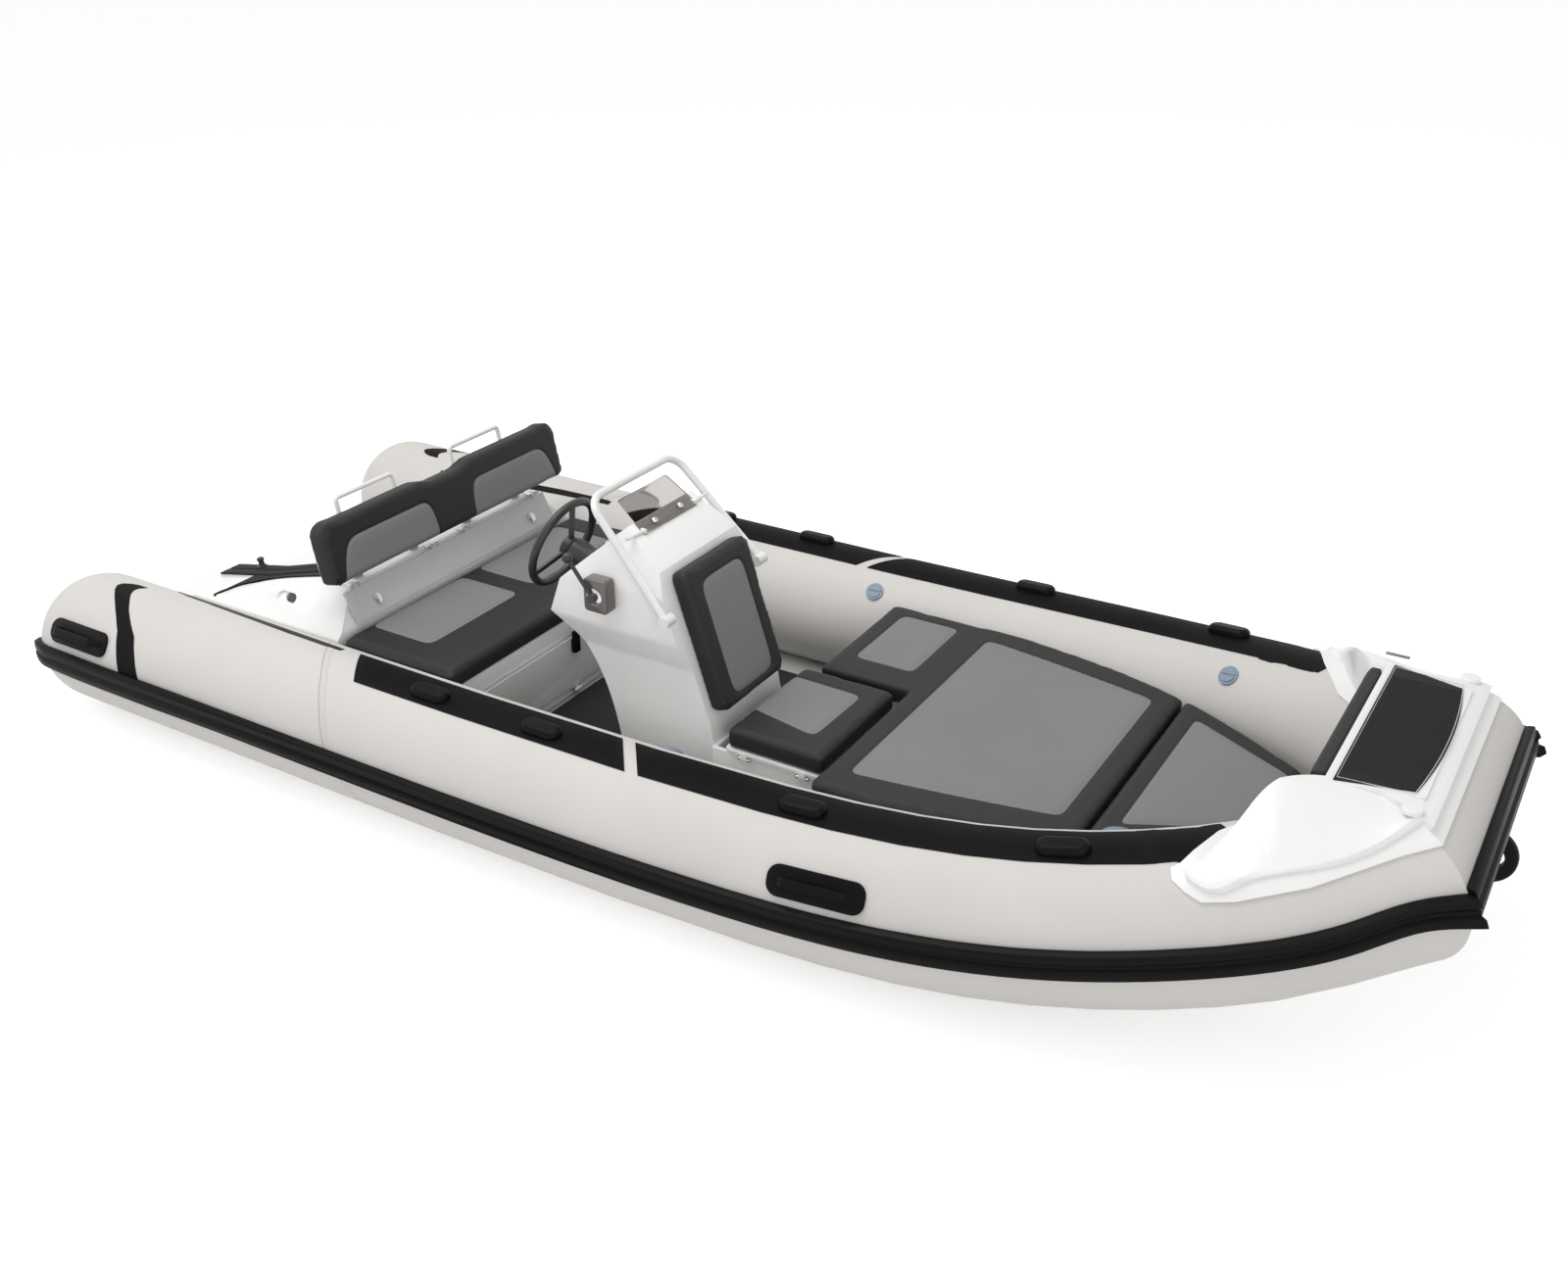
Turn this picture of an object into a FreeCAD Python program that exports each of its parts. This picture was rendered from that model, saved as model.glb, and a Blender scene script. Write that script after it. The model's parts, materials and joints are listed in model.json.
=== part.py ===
import FreeCAD, Part
import math
import os

V = FreeCAD.Vector

# Frame: origin on the waterline, amidships on the centreline.
# +X forward, +Y to port, +Z up. All lengths are in millimetres.

# Collar: the inflated tube
tube_r = 241.0
tube_side_y = 835.0
tube_aft_z = 259.0
tube_aft_x = -2262.0
dome_depth = 215.0
bow_corner_x = 2311.0
bow_rise = 269.0
bow_plan_angle_deg = 35.0
bow_rise_angle_deg = 15.0
corner_overrun = 420.0
bond_gap = 0.3
# Each row: share of the run from the dome to the bow corner, share of the
# side's distance from the centreline, share of the bow's rise.
centreline_shares = [
    (0.0, 1.0, 0.0),
    (0.21, 1.0, 0.0),
    (0.455, 1.0, 0.0),
    (0.622, 0.988, 0.045),
    (0.763, 0.933, 0.17),
    (0.845, 0.835, 0.335),
    (0.911, 0.703, 0.54),
    (0.956, 0.57, 0.73),
    (1.0, 0.402, 1.0),
]
collar_station_shares = [0.0, 0.2, 0.4, 0.55, 0.65, 0.7, 0.745, 0.785, 0.82, 0.855, 0.885,
                         0.915, 0.94, 0.97, 1.0]

# Rub rail on the collar's widest line
rail_angle_deg = 3.0
rail_bow_angle_deg = 13.0
rail_half_angle_deg = 10.0
rail_edge_height = 9.0
rail_ridge_height = 25.0
rail_groove_height = 13.0
rail_crown_share = 0.78
rail_ridge_share = 0.3
rail_groove_share = 0.12
rail_wrap = 128.0
rail_wrap_shares = [1.0, 0.78, 0.52, 0.26]
bond_sink = 4.0

# Hull under the deck
hull_aft_x = -2190.0
hull_stem_x = 2310.0
keel_depth = 265.0
stem_foot_z = 268.0
chine_half_beam = 722.0
transom_fit_share = 0.98
chine_aft_z = 5.0
chine_bow_z = 318.0
chine_flat = 26.0
strake_width = 34.0
hull_top_inset = 95.0
hull_top_drop = 155.0
# Each row: share of the hull's length from aft, share of the chine's half
# beam, share of the chine's rise, share of the keel's rise.
hull_section_shares = [
    (0.0, 0.995, 0.0, 0.0),
    (0.26, 1.0, 0.0, 0.0),
    (0.48, 0.997, 0.015, 0.005),
    (0.64, 0.957, 0.08, 0.037),
    (0.755, 0.86, 0.182, 0.112),
    (0.845, 0.706, 0.32, 0.235),
    (0.91, 0.533, 0.495, 0.403),
    (0.955, 0.374, 0.67, 0.6),
    (1.0, 0.132, 1.0, 1.0),
]
strake_place_shares = [0.36, 0.68]

# Cockpit deck
deck_top_z = 60.0
deck_thickness = 12.0
deck_aft_x = -1800.0
fore_deck_x = 1500.0
fore_deck_z = 180.0
bow_bulkhead_x = 2040.0
mat_thickness = 6.0
mat_margin = 26.0
cut_overrun = 60.0

# Transom
transom_x = -2150.0
transom_rake_deg = 12.0
transom_thickness = 45.0
transom_cut_height = 255.0
transom_shoulder_height = 335.0
transom_cut_half_width = 345.0
transom_shoulder_half_width = 430.0
transom_side_half_width = 700.0
engine_bolt_r = 6.6
engine_bolt_top_drop = 55.0
engine_bolt_pitch = 203.2
engine_bolt_upper_spacing = 327.0
engine_bolt_lower_spacing = 251.0
well_aft_x = -2120.0
well_front_x = -1850.0
well_half_width = 320.0
well_floor_z = -60.0

# Seat height shared by all cushions
cushion_top_z = 450.0
cushion_thickness = 72.0
cushion_gap = 0.3
cushion_edge_r = 16.0

# Bench across the cockpit
bench_front_x = -690.0
bench_aft_x = -1200.0
bench_half_width = 585.0
bench_wall = 14.0
bench_cushion_front_x = -672.0
bench_cushion_half_width = 664.0
bench_cushion_aft_x = -1188.0
bench_band_depth = 72.0
door_side_margin = 42.0
door_hinge_share = 0.72
door_bottom_z = 96.0
door_thickness = 12.0
moving_gap = 5.0
latch_length = 58.0
latch_width = 34.0
latch_depth = 20.0

# Moulding behind the bench
aft_mould_front_x = -1205.0
aft_slope_foot_z = 456.0
aft_slope_top_x = -1268.0
aft_slope_top_z = 580.0
aft_ledge_x = -1400.0
aft_mould_end_x = -2085.0
aft_mould_end_z = 404.0
aft_mould_mid_x = -1760.0
aft_mould_mid_z = 472.0
aft_top_half_width = 505.0
aft_foot_half_width = 585.0
aft_rim_half_width = 672.0
aft_rim_z = 424.0
aft_mould_wall = 16.0
aft_locker_end_x = -1780.0
hatch_half_width = 560.0
hatch_edge = 14.0
hatch_thickness = 12.0
hatch_hinge_places = [507.0, 94.0]
hatch_latch_y = 438.0
hatch_latch_up_share = 0.42
latch_knob_share = 0.7
latch_tongue_share = 1.5
latch_lift_share = 0.6
hatch_latch_r = 15.0
hatch_latch_height = 14.0
recess_length = 92.0
recess_width = 46.0
oval_round_share = 0.98
recess_depth = 9.0
recess_x = -1520.0
stern_mat_thickness = 8.0
stern_slat_width = 44.0
stern_slat_gap = 6.0
stern_mat_inner_y = 352.0
stern_mat_outer_y = 486.0
stern_mat_front_x = -1480.0
stern_mat_aft_x = -2050.0

# Hinges
hinge_pin_r = 3.0
hinge_running_gap = 0.08
hinge_knuckle_r = 6.5
hinge_knuckle_length = 26.0
hinge_ear_length = 8.0
hinge_side_gap = 0.5
hinge_leaf_thickness = 3.0
hinge_leaf_length = 20.0

# Bench backrest
backrest_half_width = 648.0
backrest_bottom_z = 636.0
backrest_top_z = 868.0
backrest_front_x = -1190.0
backrest_lean_deg = 12.0
backrest_thickness = 74.0
backrest_notch_half_width = 92.0
backrest_notch_depth = 20.0
notch_mouth_share = 1.6
notch_floor_share = 0.75
backrest_corner_r = 58.0
backrest_board_thickness = 16.0
backrest_board_inset = 26.0
backrest_arm_width = 40.0
backrest_arm_thickness = 10.0
backrest_arm_places = [440.0, 150.0]
grab_rail_r = 9.0
grab_rail_spacing = 282.0
grab_rail_centre_y = 300.0
grab_rail_height = 62.0
grab_rail_standoff = 26.0
grab_rail_bend_r = 34.0
grab_rail_tight_bend_r = 14.4

# Steering console, to starboard of the centreline
console_y = -250.0
console_half_width = 250.0
pedestal_half_width = 212.0
console_neck_z = 610.0
console_pod_z = 706.0
console_shoulder_z = 860.0
console_top_half_width = 182.0
console_foot_x = -85.0
console_crest_x = -70.0
console_crest_z = 1046.0
console_lip_x = -302.0
console_lip_z = 840.0
console_chin_x = -349.0
console_chin_z = 714.0
console_flare_shares = [(0.24, 0.085), (0.53, 0.235), (0.9, 0.67)]
console_brow_x = 78.0
console_brow_z = 938.0
console_seat_x = 246.0
console_seat_z = 440.0
console_base_front_x = 672.0
console_base_top_z = 366.0
console_base_wall = 14.0
console_base_half_width = 224.0
pillar_depth = 74.0

# Windshield
screen_foot_x = -26.0
screen_length = 146.0
screen_thickness = 5.0
screen_foot_half_width = 152.0
screen_top_half_width = 136.0
screen_corner_r = 14.0

# Console rail
console_rail_r = 13.0
console_rail_foot_x = 136.0
console_rail_foot_z = 806.0
console_rail_top_x = -176.0
console_rail_top_z = 1134.0
console_rail_top_half_width = 235.0
console_rail_gap = 14.0
console_rail_bend_r = 66.0
console_rail_foot_r = 20.0

# Steering wheel
wheel_r = 172.0
wheel_rim_r = 14.0
wheel_spoke_width = 22.0
wheel_spoke_thickness = 9.0
wheel_hub_r = 38.0
wheel_hub_length = 34.0
hub_grip_share = 0.7
wheel_tilt_deg = 19.0
wheel_standoff = 168.0
wheel_dish = 46.0
helm_r = 46.0
helm_flange_r = 62.0
helm_flange_length = 12.0
helm_gap = 5.0

# Engine control on the console's starboard side
control_x = -122.0
control_z = 838.0
control_length = 92.0
control_height = 116.0
control_depth = 52.0
control_lever_length = 150.0
control_lever_r = 7.0
control_boss_r = 15.0
control_boss_length = 20.0
control_knob_r = 17.0
control_lever_lean_deg = 38.0

# Console seat
seat_aft_x = 316.0
seat_front_x = 676.0
seat_starboard_y = -484.0
seat_port_y = 20.0
seat_lid_thickness = 12.0
seat_hinge_shares = [0.2, 0.8]
seatback_half_width = 192.0
seatback_thickness = 56.0
seatback_foot_clearance = 14.0

# Sundeck forward of the console
sundeck_aft_x = 700.0
sundeck_wing_x = 360.0
sundeck_wing_y = 48.0
sundeck_split_x = 1512.0
sundeck_front_x = 1972.0
sundeck_side_shares = [(0.0, 1.0), (0.42, 0.93), (0.64, 0.77), (1.0, 0.36)]
sundeck_half_width = 612.0
sundeck_base_inset = 22.0
sundeck_base_wall = 16.0
tube_clearance = 8.0

# Bow step moulding
step_skin = 7.0
step_rise = 19.0
step_inner_x = 2122.0
step_tip_x = 1846.0
step_side_half_width = 385.0
step_skirt_height = 120.0
step_form_margin = 30.0
step_form_margin_deg = 10.0
step_form_lean_deg = 3.0
step_crest_height = 108.0
step_edge_r = 12.0
step_pad_aft_x = 2144.0
step_pad_front_x = 2346.0
step_pad_half_width_aft = 367.0
step_pad_half_width_front = 316.0
step_pad_bow = 26.0
step_pad_thickness = 5.0
cleat_y = 402.0
cleat_x = 2352.0
cleat_r = 27.0
cleat_height = 13.0
bow_cushion_thickness = 44.0
bow_cushion_height = 118.0
bow_cushion_half_width = 345.0
# Each row: share of the wing's length from its tip, inner and outer angles of the
# flange, share of the form's margin, angle of the form's crest, share of its height.
step_wing_rows = [
    (0.0, 68.0, 60.0, 0.0, 64.0, 0.14),
    (0.05, 71.0, 52.0, 0.2, 66.0, 0.18),
    (0.12, 80.0, 45.0, 0.5, 72.0, 0.24),
    (0.27, 98.0, 44.0, 1.0, 85.0, 0.42),
    (0.6, 126.0, 46.0, 1.0, 104.0, 1.0),
    (1.0, 146.0, 50.0, 1.0, 98.0, 0.3),
]

# Towing eye under the front rail
eye_r = 17.0
eye_ring_r = 86.0
eye_bore_r = 51.0
eye_sink = 26.0
eye_edge_r = 12.0
eye_plate_width = 90.0
eye_plate_height = 110.0
eye_plate_thickness = 4.0
eye_drop = 90.0

# Fittings on the collar
patch_thickness = 3.0
patch_inner_angle_deg = 109.0
patch_outer_angle_deg = 72.0
patch_slant = 118.0
patch_aft_start_x = -930.0
patch_aft_end_x = 178.0
patch_fore_start_x = 226.0
patch_fore_end_x = 1900.0
patch_step_gap_deg = 1.5
grab_places = [-575.0, -116.0, 826.0, 1586.0]
grab_length = 150.0
grab_width = 66.0
grab_height = 26.0
grab_angle_deg = 84.0
grab_crown_share = 0.7
grab_sink_share = 0.11
carry_places = [-2120.0, 952.0]
carry_angle_deg = 30.0
carry_length = 300.0
carry_width = 92.0
carry_round_share = 0.8
carry_plate_height = 8.0
carry_bar_height = 40.0
carry_bar_width = 26.0
carry_bar_thickness = 9.0
carry_bar_span = 190.0
carry_bar_bend_r = 14.0
valve_places = [250.0, 1710.0]
valve_angle_deg = 132.0
valve_r = 34.0
valve_rim_height = 6.0
valve_cap_r = 25.0
valve_cap_height = 9.0
valve_slot_width = 7.0
valve_slot_depth = 3.0

parts = {}


def add(name, *shapes):
    """Keeps the solids of one node."""
    solids = []
    for shape in shapes:
        solids.extend(shape.Solids)
    parts[name] = solids


def mirrored(shape):
    """The same shape on the other side of the centreline plane."""
    return shape.mirror(V(0, 0, 0), V(0, 1, 0))


def box(x0, x1, y0, y1, z0, z1):
    """A box between two corners."""
    return Part.makeBox(x1 - x0, y1 - y0, z1 - z0, V(x0, y0, z0))


def rounded_wire(points, radii):
    """A closed wire of straight lines with an arc of the given radius at each corner."""
    count = len(points)
    edges = []
    starts = []
    ends = []
    for i in range(count):
        corner = points[i]
        before = (points[i - 1] - corner).normalize()
        after = (points[(i + 1) % count] - corner).normalize()
        radius = radii[i] if isinstance(radii, (list, tuple)) else radii
        half = before.getAngle(after) / 2
        if radius <= 0 or half > math.radians(89):
            starts.append(corner)
            ends.append(corner)
            continue
        reach = radius / math.tan(half)
        starts.append(corner + before * reach)
        ends.append(corner + after * reach)
    for i in range(count):
        if (starts[i] - ends[i]).Length > 0:
            corner = points[i]
            middle = ((starts[i] + ends[i]) / 2 - corner).normalize()
            radius = radii[i] if isinstance(radii, (list, tuple)) else radii
            half = (starts[i] - corner).getAngle(ends[i] - corner) / 2
            centre = corner + middle * (radius / math.sin(half))
            edges.append(Part.Arc(starts[i], centre - middle * radius, ends[i]).toShape())
        following = (i + 1) % count
        if (ends[i] - starts[following]).Length > 0:
            edges.append(Part.LineSegment(ends[i], starts[following]).toShape())
    return Part.Wire(edges)


def side_plate(points, y0, y1, radii=0.0):
    """An outline in the X-Z plane, given as (x, z), made solid from y0 to y1."""
    wire = rounded_wire([V(x, y0, z) for x, z in points], radii)
    return Part.Face(wire).extrude(V(0, y1 - y0, 0))


def front_plate(points, x0, x1, radii=0.0):
    """An outline in the Y-Z plane, given as (y, z), made solid from x0 to x1."""
    wire = rounded_wire([V(x0, y, z) for y, z in points], radii)
    return Part.Face(wire).extrude(V(x1 - x0, 0, 0))


def plan_plate(points, z0, z1, radii=0.0):
    """An outline in the X-Y plane, given as (x, y), made solid from z0 to z1."""
    wire = rounded_wire([V(x, y, z0) for x, y in points], radii)
    return Part.Face(wire).extrude(V(0, 0, z1 - z0))


def both_sides(half):
    """Mirrors a run of (a, b) points across b = 0 to close an outline."""
    return half + [(a, -b) for a, b in reversed(half)]


def rounded_edges(solid, radius, test):
    """Rounds the edges that the test picks."""
    chosen = [edge for edge in solid.Edges if test(edge)]
    return solid.makeFillet(radius, chosen)


def pipe(points, radius, bend_r):
    """A round bar along straight runs joined by tangent arcs."""
    edges = []
    here = points[0]
    for i in range(1, len(points) - 1):
        corner = points[i]
        before = (points[i - 1] - corner).normalize()
        after = (points[i + 1] - corner).normalize()
        half = before.getAngle(after) / 2
        reach = bend_r / math.tan(half)
        start = corner + before * reach
        end = corner + after * reach
        middle = (before + after).normalize()
        centre = corner + middle * (bend_r / math.sin(half))
        edges.append(Part.LineSegment(here, start).toShape())
        edges.append(Part.Arc(start, centre - middle * bend_r, end).toShape())
        here = end
    edges.append(Part.LineSegment(here, points[-1]).toShape())
    path = Part.Wire(edges)
    direction = (points[1] - points[0]).normalize()
    section = Part.Wire([Part.Circle(points[0], direction, radius).toShape()])
    return path.makePipeShell([section], True, False)


def polar(angle_deg, radius):
    """A pair of lengths at an angle."""
    angle = math.radians(angle_deg)
    return radius * math.cos(angle), radius * math.sin(angle)


# The collar's centreline on the port side
bow_run = bow_corner_x - tube_aft_x
bow_corner_z = tube_aft_z + bow_rise
aft_tangent = V(1, 0, 0)
plan_x, plan_y = polar(-bow_plan_angle_deg, math.cos(math.radians(bow_rise_angle_deg)))
bow_tangent = V(plan_x, plan_y, math.sin(math.radians(bow_rise_angle_deg)))


def make_centreline():
    """The curve through the middle of the port tube."""
    points = []
    for x_share, y_share, z_share in centreline_shares:
        points.append(V(tube_aft_x + bow_run * x_share,
                        tube_side_y * y_share,
                        tube_aft_z + bow_rise * z_share))
    curve = Part.BSplineCurve()
    curve.interpolate(Points=points, InitialTangent=aft_tangent, FinalTangent=bow_tangent)
    return curve


centreline = make_centreline()
corner_point = centreline.value(centreline.LastParameter)


def tube_frame(x):
    """Centre, forward, outboard and upward directions of the port tube at x."""
    if x <= tube_aft_x:
        return V(x, tube_side_y, tube_aft_z), aft_tangent, V(0, 1, 0), V(0, 0, 1)
    low = centreline.FirstParameter
    high = centreline.LastParameter
    if x >= bow_corner_x:
        forward = V(bow_tangent)
        centre = corner_point + forward * ((x - bow_corner_x) / forward.x)
    else:
        while high - low > (centreline.LastParameter - centreline.FirstParameter) / 1e9:
            middle = (low + high) / 2
            if centreline.value(middle).x < x:
                low = middle
            else:
                high = middle
        centre = centreline.value(low)
        forward = V(centreline.tangent(low)[0])
        forward.normalize()
    outboard = V(0, 0, 1).cross(forward)
    outboard.normalize()
    return centre, forward, outboard, forward.cross(outboard)


def tube_point(x, angle_deg, radius):
    """A point about the port tube's centre, its angle counted from outboard upward."""
    if x < tube_aft_x:
        return dome_point(x, angle_deg, radius)
    centre, forward, outboard, upward = tube_frame(x)
    out, up = polar(angle_deg, radius)
    return centre + outboard * out + upward * up


def dome_point(x, angle_deg, radius):
    """A point about the port tube's axis, on its stern dome grown to a radius."""
    along = (tube_aft_x - x) / (dome_depth + radius - tube_r)
    out, up = polar(angle_deg, radius * math.sqrt(1 - along * along))
    return V(x, tube_side_y + out, tube_aft_z + up)


def tube_place(x, angle_deg, radius):
    """A frame on the tube: X along the tube, Z straight out of its surface."""
    centre, forward, outboard, upward = tube_frame(x)
    out, up = polar(angle_deg, 1)
    normal = outboard * out + upward * up
    across = normal.cross(forward)
    spot = centre + normal * radius
    matrix = FreeCAD.Matrix(
        forward.x, across.x, normal.x, spot.x,
        forward.y, across.y, normal.y, spot.y,
        forward.z, across.z, normal.z, spot.z,
        0, 0, 0, 1)
    return FreeCAD.Placement(matrix)


def placed(shape, placement):
    """A copy of a shape moved from the origin to a frame."""
    copy = shape.copy()
    copy.Placement = placement.multiply(copy.Placement)
    return copy


def stations(x0, x1, count):
    """Evenly spaced places from x0 to x1."""
    return [x0 + (x1 - x0) * i / (count - 1) for i in range(count)]


def mitre_normal(side):
    """The normal of the plane in which a side tube meets the front tube."""
    turned = V(bow_tangent.x, side * bow_tangent.y, bow_tangent.z) + V(0, -side, 0)
    return turned.normalize()


def beyond_mitre(side, forward_side):
    """The half of space on one side of a mitre plane."""
    corner = V(corner_point.x, side * corner_point.y, corner_point.z)
    normal = mitre_normal(side)
    if not forward_side:
        normal = normal * -1
    reach = bow_run
    return Part.makeCylinder(reach, reach, corner, normal)


def tube_places():
    """Where the port tube's cross-sections lie, from the dome to past the bow corner."""
    places = [tube_aft_x + bow_run * share for share in collar_station_shares]
    return places + [bow_corner_x + corner_overrun * bow_tangent.x]


def side_tube(radius):
    """The port tube with its domed stern end, mitred at the bow corner."""
    sections = []
    for x in tube_places():
        centre, forward, outboard, upward = tube_frame(x)
        sections.append(Part.Wire([Part.Circle(centre, forward, radius).toShape()]))
    body = Part.makeLoft(sections, True, True)
    body = body.cut(beyond_mitre(1, True))
    return body.fuse(stern_dome(radius))


def stern_dome(radius):
    """The domed end of the port tube, a half ellipse turned about the tube's axis."""
    centre = V(tube_aft_x, tube_side_y, tube_aft_z)
    depth = dome_depth + radius - tube_r
    tip = centre - V(depth, 0, 0)
    if depth >= radius:
        ellipse = Part.Ellipse(tip, centre + V(0, 0, radius), centre)
    else:
        ellipse = Part.Ellipse(centre + V(0, 0, radius), tip, centre)
    crown = centre + V(0, 0, radius)
    first = ellipse.parameter(crown)
    last = ellipse.parameter(tip)
    if last < first:
        first, last = last, first
    arc = ellipse.toShape(first, last)
    ends = [arc.Vertexes[0].Point, arc.Vertexes[-1].Point]
    lines = [Part.LineSegment(ends[1], centre).toShape(), Part.LineSegment(centre, ends[0]).toShape()]
    face = Part.Face(Part.Wire([arc] + lines))
    return face.revolve(centre, V(1, 0, 0), 360)


def front_tube(radius):
    """The short transverse tube across the bow."""
    reach = corner_point.y + corner_overrun
    start = V(corner_point.x, -reach, corner_point.z)
    body = Part.makeCylinder(radius, 2 * reach, start, V(0, 1, 0))
    body = body.cut(beyond_mitre(1, False))
    return body.cut(beyond_mitre(-1, False))


def front_angle_deg():
    """How far the front tube's outboard direction is rolled to meet the side tubes."""
    normal = mitre_normal(1)
    outboard = tube_frame(bow_corner_x)[2]
    turned = outboard - normal * (2 * outboard.dot(normal))
    return math.degrees(math.atan2(turned.z, turned.x))


collar_port = side_tube(tube_r)
collar_bow = front_tube(tube_r)
tube_cutter_port = side_tube(tube_r + bond_gap)
tube_cutters = [tube_cutter_port, mirrored(tube_cutter_port), front_tube(tube_r + bond_gap)]
wide_cutter_port = side_tube(tube_r + tube_clearance)
wide_cutters = [wide_cutter_port, mirrored(wide_cutter_port), front_tube(tube_r + tube_clearance)]



def arc_through(x, start_deg, end_deg, radius):
    """An arc about the port tube's centre at x."""
    middle_deg = (start_deg + end_deg) / 2
    return Part.Arc(tube_point(x, start_deg, radius), tube_point(x, middle_deg, radius),
                    tube_point(x, end_deg, radius)).toShape()


def band_section(x, inner_deg, outer_deg, low, high):
    """A closed strip across the port tube, between two angles and two radii."""
    return Part.Wire([
        arc_through(x, outer_deg, inner_deg, high),
        Part.LineSegment(tube_point(x, inner_deg, high), tube_point(x, inner_deg, low)).toShape(),
        arc_through(x, inner_deg, outer_deg, low),
        Part.LineSegment(tube_point(x, outer_deg, low), tube_point(x, outer_deg, high)).toShape(),
    ])


def tube_strip(rows, thickness):
    """A strip bonded along the port tube, its rows given as (x, inner angle, outer angle)."""
    low = tube_r - bond_sink
    high = tube_r + bond_gap + thickness
    wires = [band_section(x, inner_deg, outer_deg, low, high) for x, inner_deg, outer_deg in rows]
    return Part.makeLoft(wires, True, True).cut(tube_cutters[0])


add("collar_port", collar_port)
add("collar_starboard", mirrored(collar_port))
add("collar_bow", collar_bow)


# Rub rail: a band with two ridges
def rail_middle_deg(x):
    """The rail's angle on the tube at x: it climbs with the bow."""
    share = (tube_frame(min(x, bow_corner_x))[0].z - tube_aft_z) / bow_rise
    return rail_angle_deg + (rail_bow_angle_deg - rail_angle_deg) * share


def rail_outline(middle_deg):
    """The rail's cross-section as (angle, radius) pairs about the tube's centre."""
    steps = [
        (1.0, rail_edge_height),
        (rail_crown_share, rail_ridge_height),
        (rail_ridge_share, rail_ridge_height),
        (rail_groove_share, rail_groove_height),
    ]
    half = [(share * rail_half_angle_deg, tube_r + height) for share, height in steps]
    points = [(middle_deg - rail_half_angle_deg, tube_r - bond_sink)]
    points.append((middle_deg + rail_half_angle_deg, tube_r - bond_sink))
    points += [(middle_deg + turn, radius) for turn, radius in half]
    points += [(middle_deg - turn, radius) for turn, radius in reversed(half)]
    return points


def side_rail():
    """The port rub rail, lofted along the tube."""
    wires = []
    for x in [tube_aft_x - rail_wrap * share for share in rail_wrap_shares] + tube_places():
        ring = [tube_point(x, angle, radius) for angle, radius in rail_outline(rail_middle_deg(x))]
        wires.append(Part.makePolygon(ring + [ring[0]]))
    body = Part.makeLoft(wires, True, False)
    return body.cut(beyond_mitre(1, True)).cut(tube_cutters[0])


def front_rail():
    """The rub rail across the bow."""
    roll = front_angle_deg()
    reach = corner_point.y + corner_overrun
    ring = []
    for angle, radius in rail_outline(rail_bow_angle_deg):
        out, up = polar(angle + roll, radius)
        ring.append(V(corner_point.x + out, -reach, corner_point.z + up))
    body = Part.Face(Part.makePolygon(ring + [ring[0]])).extrude(V(0, 2 * reach, 0))
    body = body.cut(tube_cutters[2])
    body = body.cut(beyond_mitre(1, False))
    return body.cut(beyond_mitre(-1, False))


rail_port = side_rail()
add("rub_rail_port", rail_port)
add("rub_rail_starboard", mirrored(rail_port))
add("rub_rail_bow", front_rail())


# Hull: a deep V with lifting strakes, seated under the collar
def hull_section(x, beam_share, chine_share, keel_share):
    """One closed cross-section of the hull."""
    keel_z = -keel_depth + (stem_foot_z + keel_depth) * keel_share
    chine_y = chine_half_beam * beam_share
    chine_z = chine_aft_z + (chine_bow_z - chine_aft_z) * chine_share
    slope = (chine_z - keel_z) / chine_y
    centre = tube_frame(min(x, bow_corner_x))[0]
    width = strake_width * beam_share
    half = [(0.0, keel_z)]
    for place in strake_place_shares:
        y = chine_y * place
        half.append((y, keel_z + slope * y))
        half.append((y + width, keel_z + slope * y))
        half.append((y + width, keel_z + slope * (y + width)))
    half.append((chine_y, chine_z))
    half.append((chine_y + chine_flat * beam_share, chine_z))
    side_y = max(centre.y - hull_top_inset, chine_y + chine_flat)
    half.append((side_y, centre.z - hull_top_drop))
    ring = [V(x, y, z) for y, z in half]
    ring += [V(x, -y, z) for y, z in reversed(half[1:])]
    return Part.makePolygon(ring + [ring[0]])


def hull_form():
    """The bottom lofted through its sections."""
    length = hull_stem_x - hull_aft_x
    wires = []
    for x_share, beam_share, chine_share, keel_share in hull_section_shares:
        wires.append(hull_section(hull_aft_x + length * x_share, beam_share, chine_share, keel_share))
    return Part.makeLoft(wires, True, False)


hull_body = hull_form()


def make_hull():
    """The hull with its cockpit, engine well and tube seats cut."""
    body = hull_body
    reach = tube_side_y + tube_r
    deck_bottom = deck_top_z - deck_thickness
    body = body.cut(box(hull_aft_x - reach, fore_deck_x, -reach, reach, deck_bottom, reach))
    body = body.cut(box(fore_deck_x - cut_overrun, bow_bulkhead_x, -reach, reach, fore_deck_z, reach))
    body = body.cut(box(well_aft_x - 2 * cut_overrun, well_front_x, -well_half_width,
                        well_half_width, well_floor_z, reach))
    body = body.cut(aft_of_transom(transom_thickness))
    for cutter in tube_cutters:
        body = body.cut(cutter)
    return body


# Transom frame: its outer face passes through transom_x at the waterline
rake_x, rake_z = polar(90 + transom_rake_deg, 1)
transom_up = V(rake_x, 0, rake_z)
transom_normal = V(-rake_z, 0, rake_x)


def transom_point(y, height, depth):
    """A point by height up the raked face and depth forward of it."""
    return V(transom_x, y, 0) + transom_up * height - transom_normal * depth


def aft_of_transom(depth):
    """Everything aft of the plane at a depth forward of the transom's outer face."""
    reach = tube_side_y + tube_r
    return Part.makeCylinder(3 * reach, reach, transom_point(0, 0, depth), transom_normal)


def engine_bolt_places():
    """The four engine bolts as (y, height up the transom)."""
    upper = transom_cut_height - engine_bolt_top_drop
    lower = upper - engine_bolt_pitch
    places = []
    for side in (1, -1):
        places.append((side * engine_bolt_upper_spacing / 2, upper))
        places.append((side * engine_bolt_lower_spacing / 2, lower))
    return places


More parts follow.
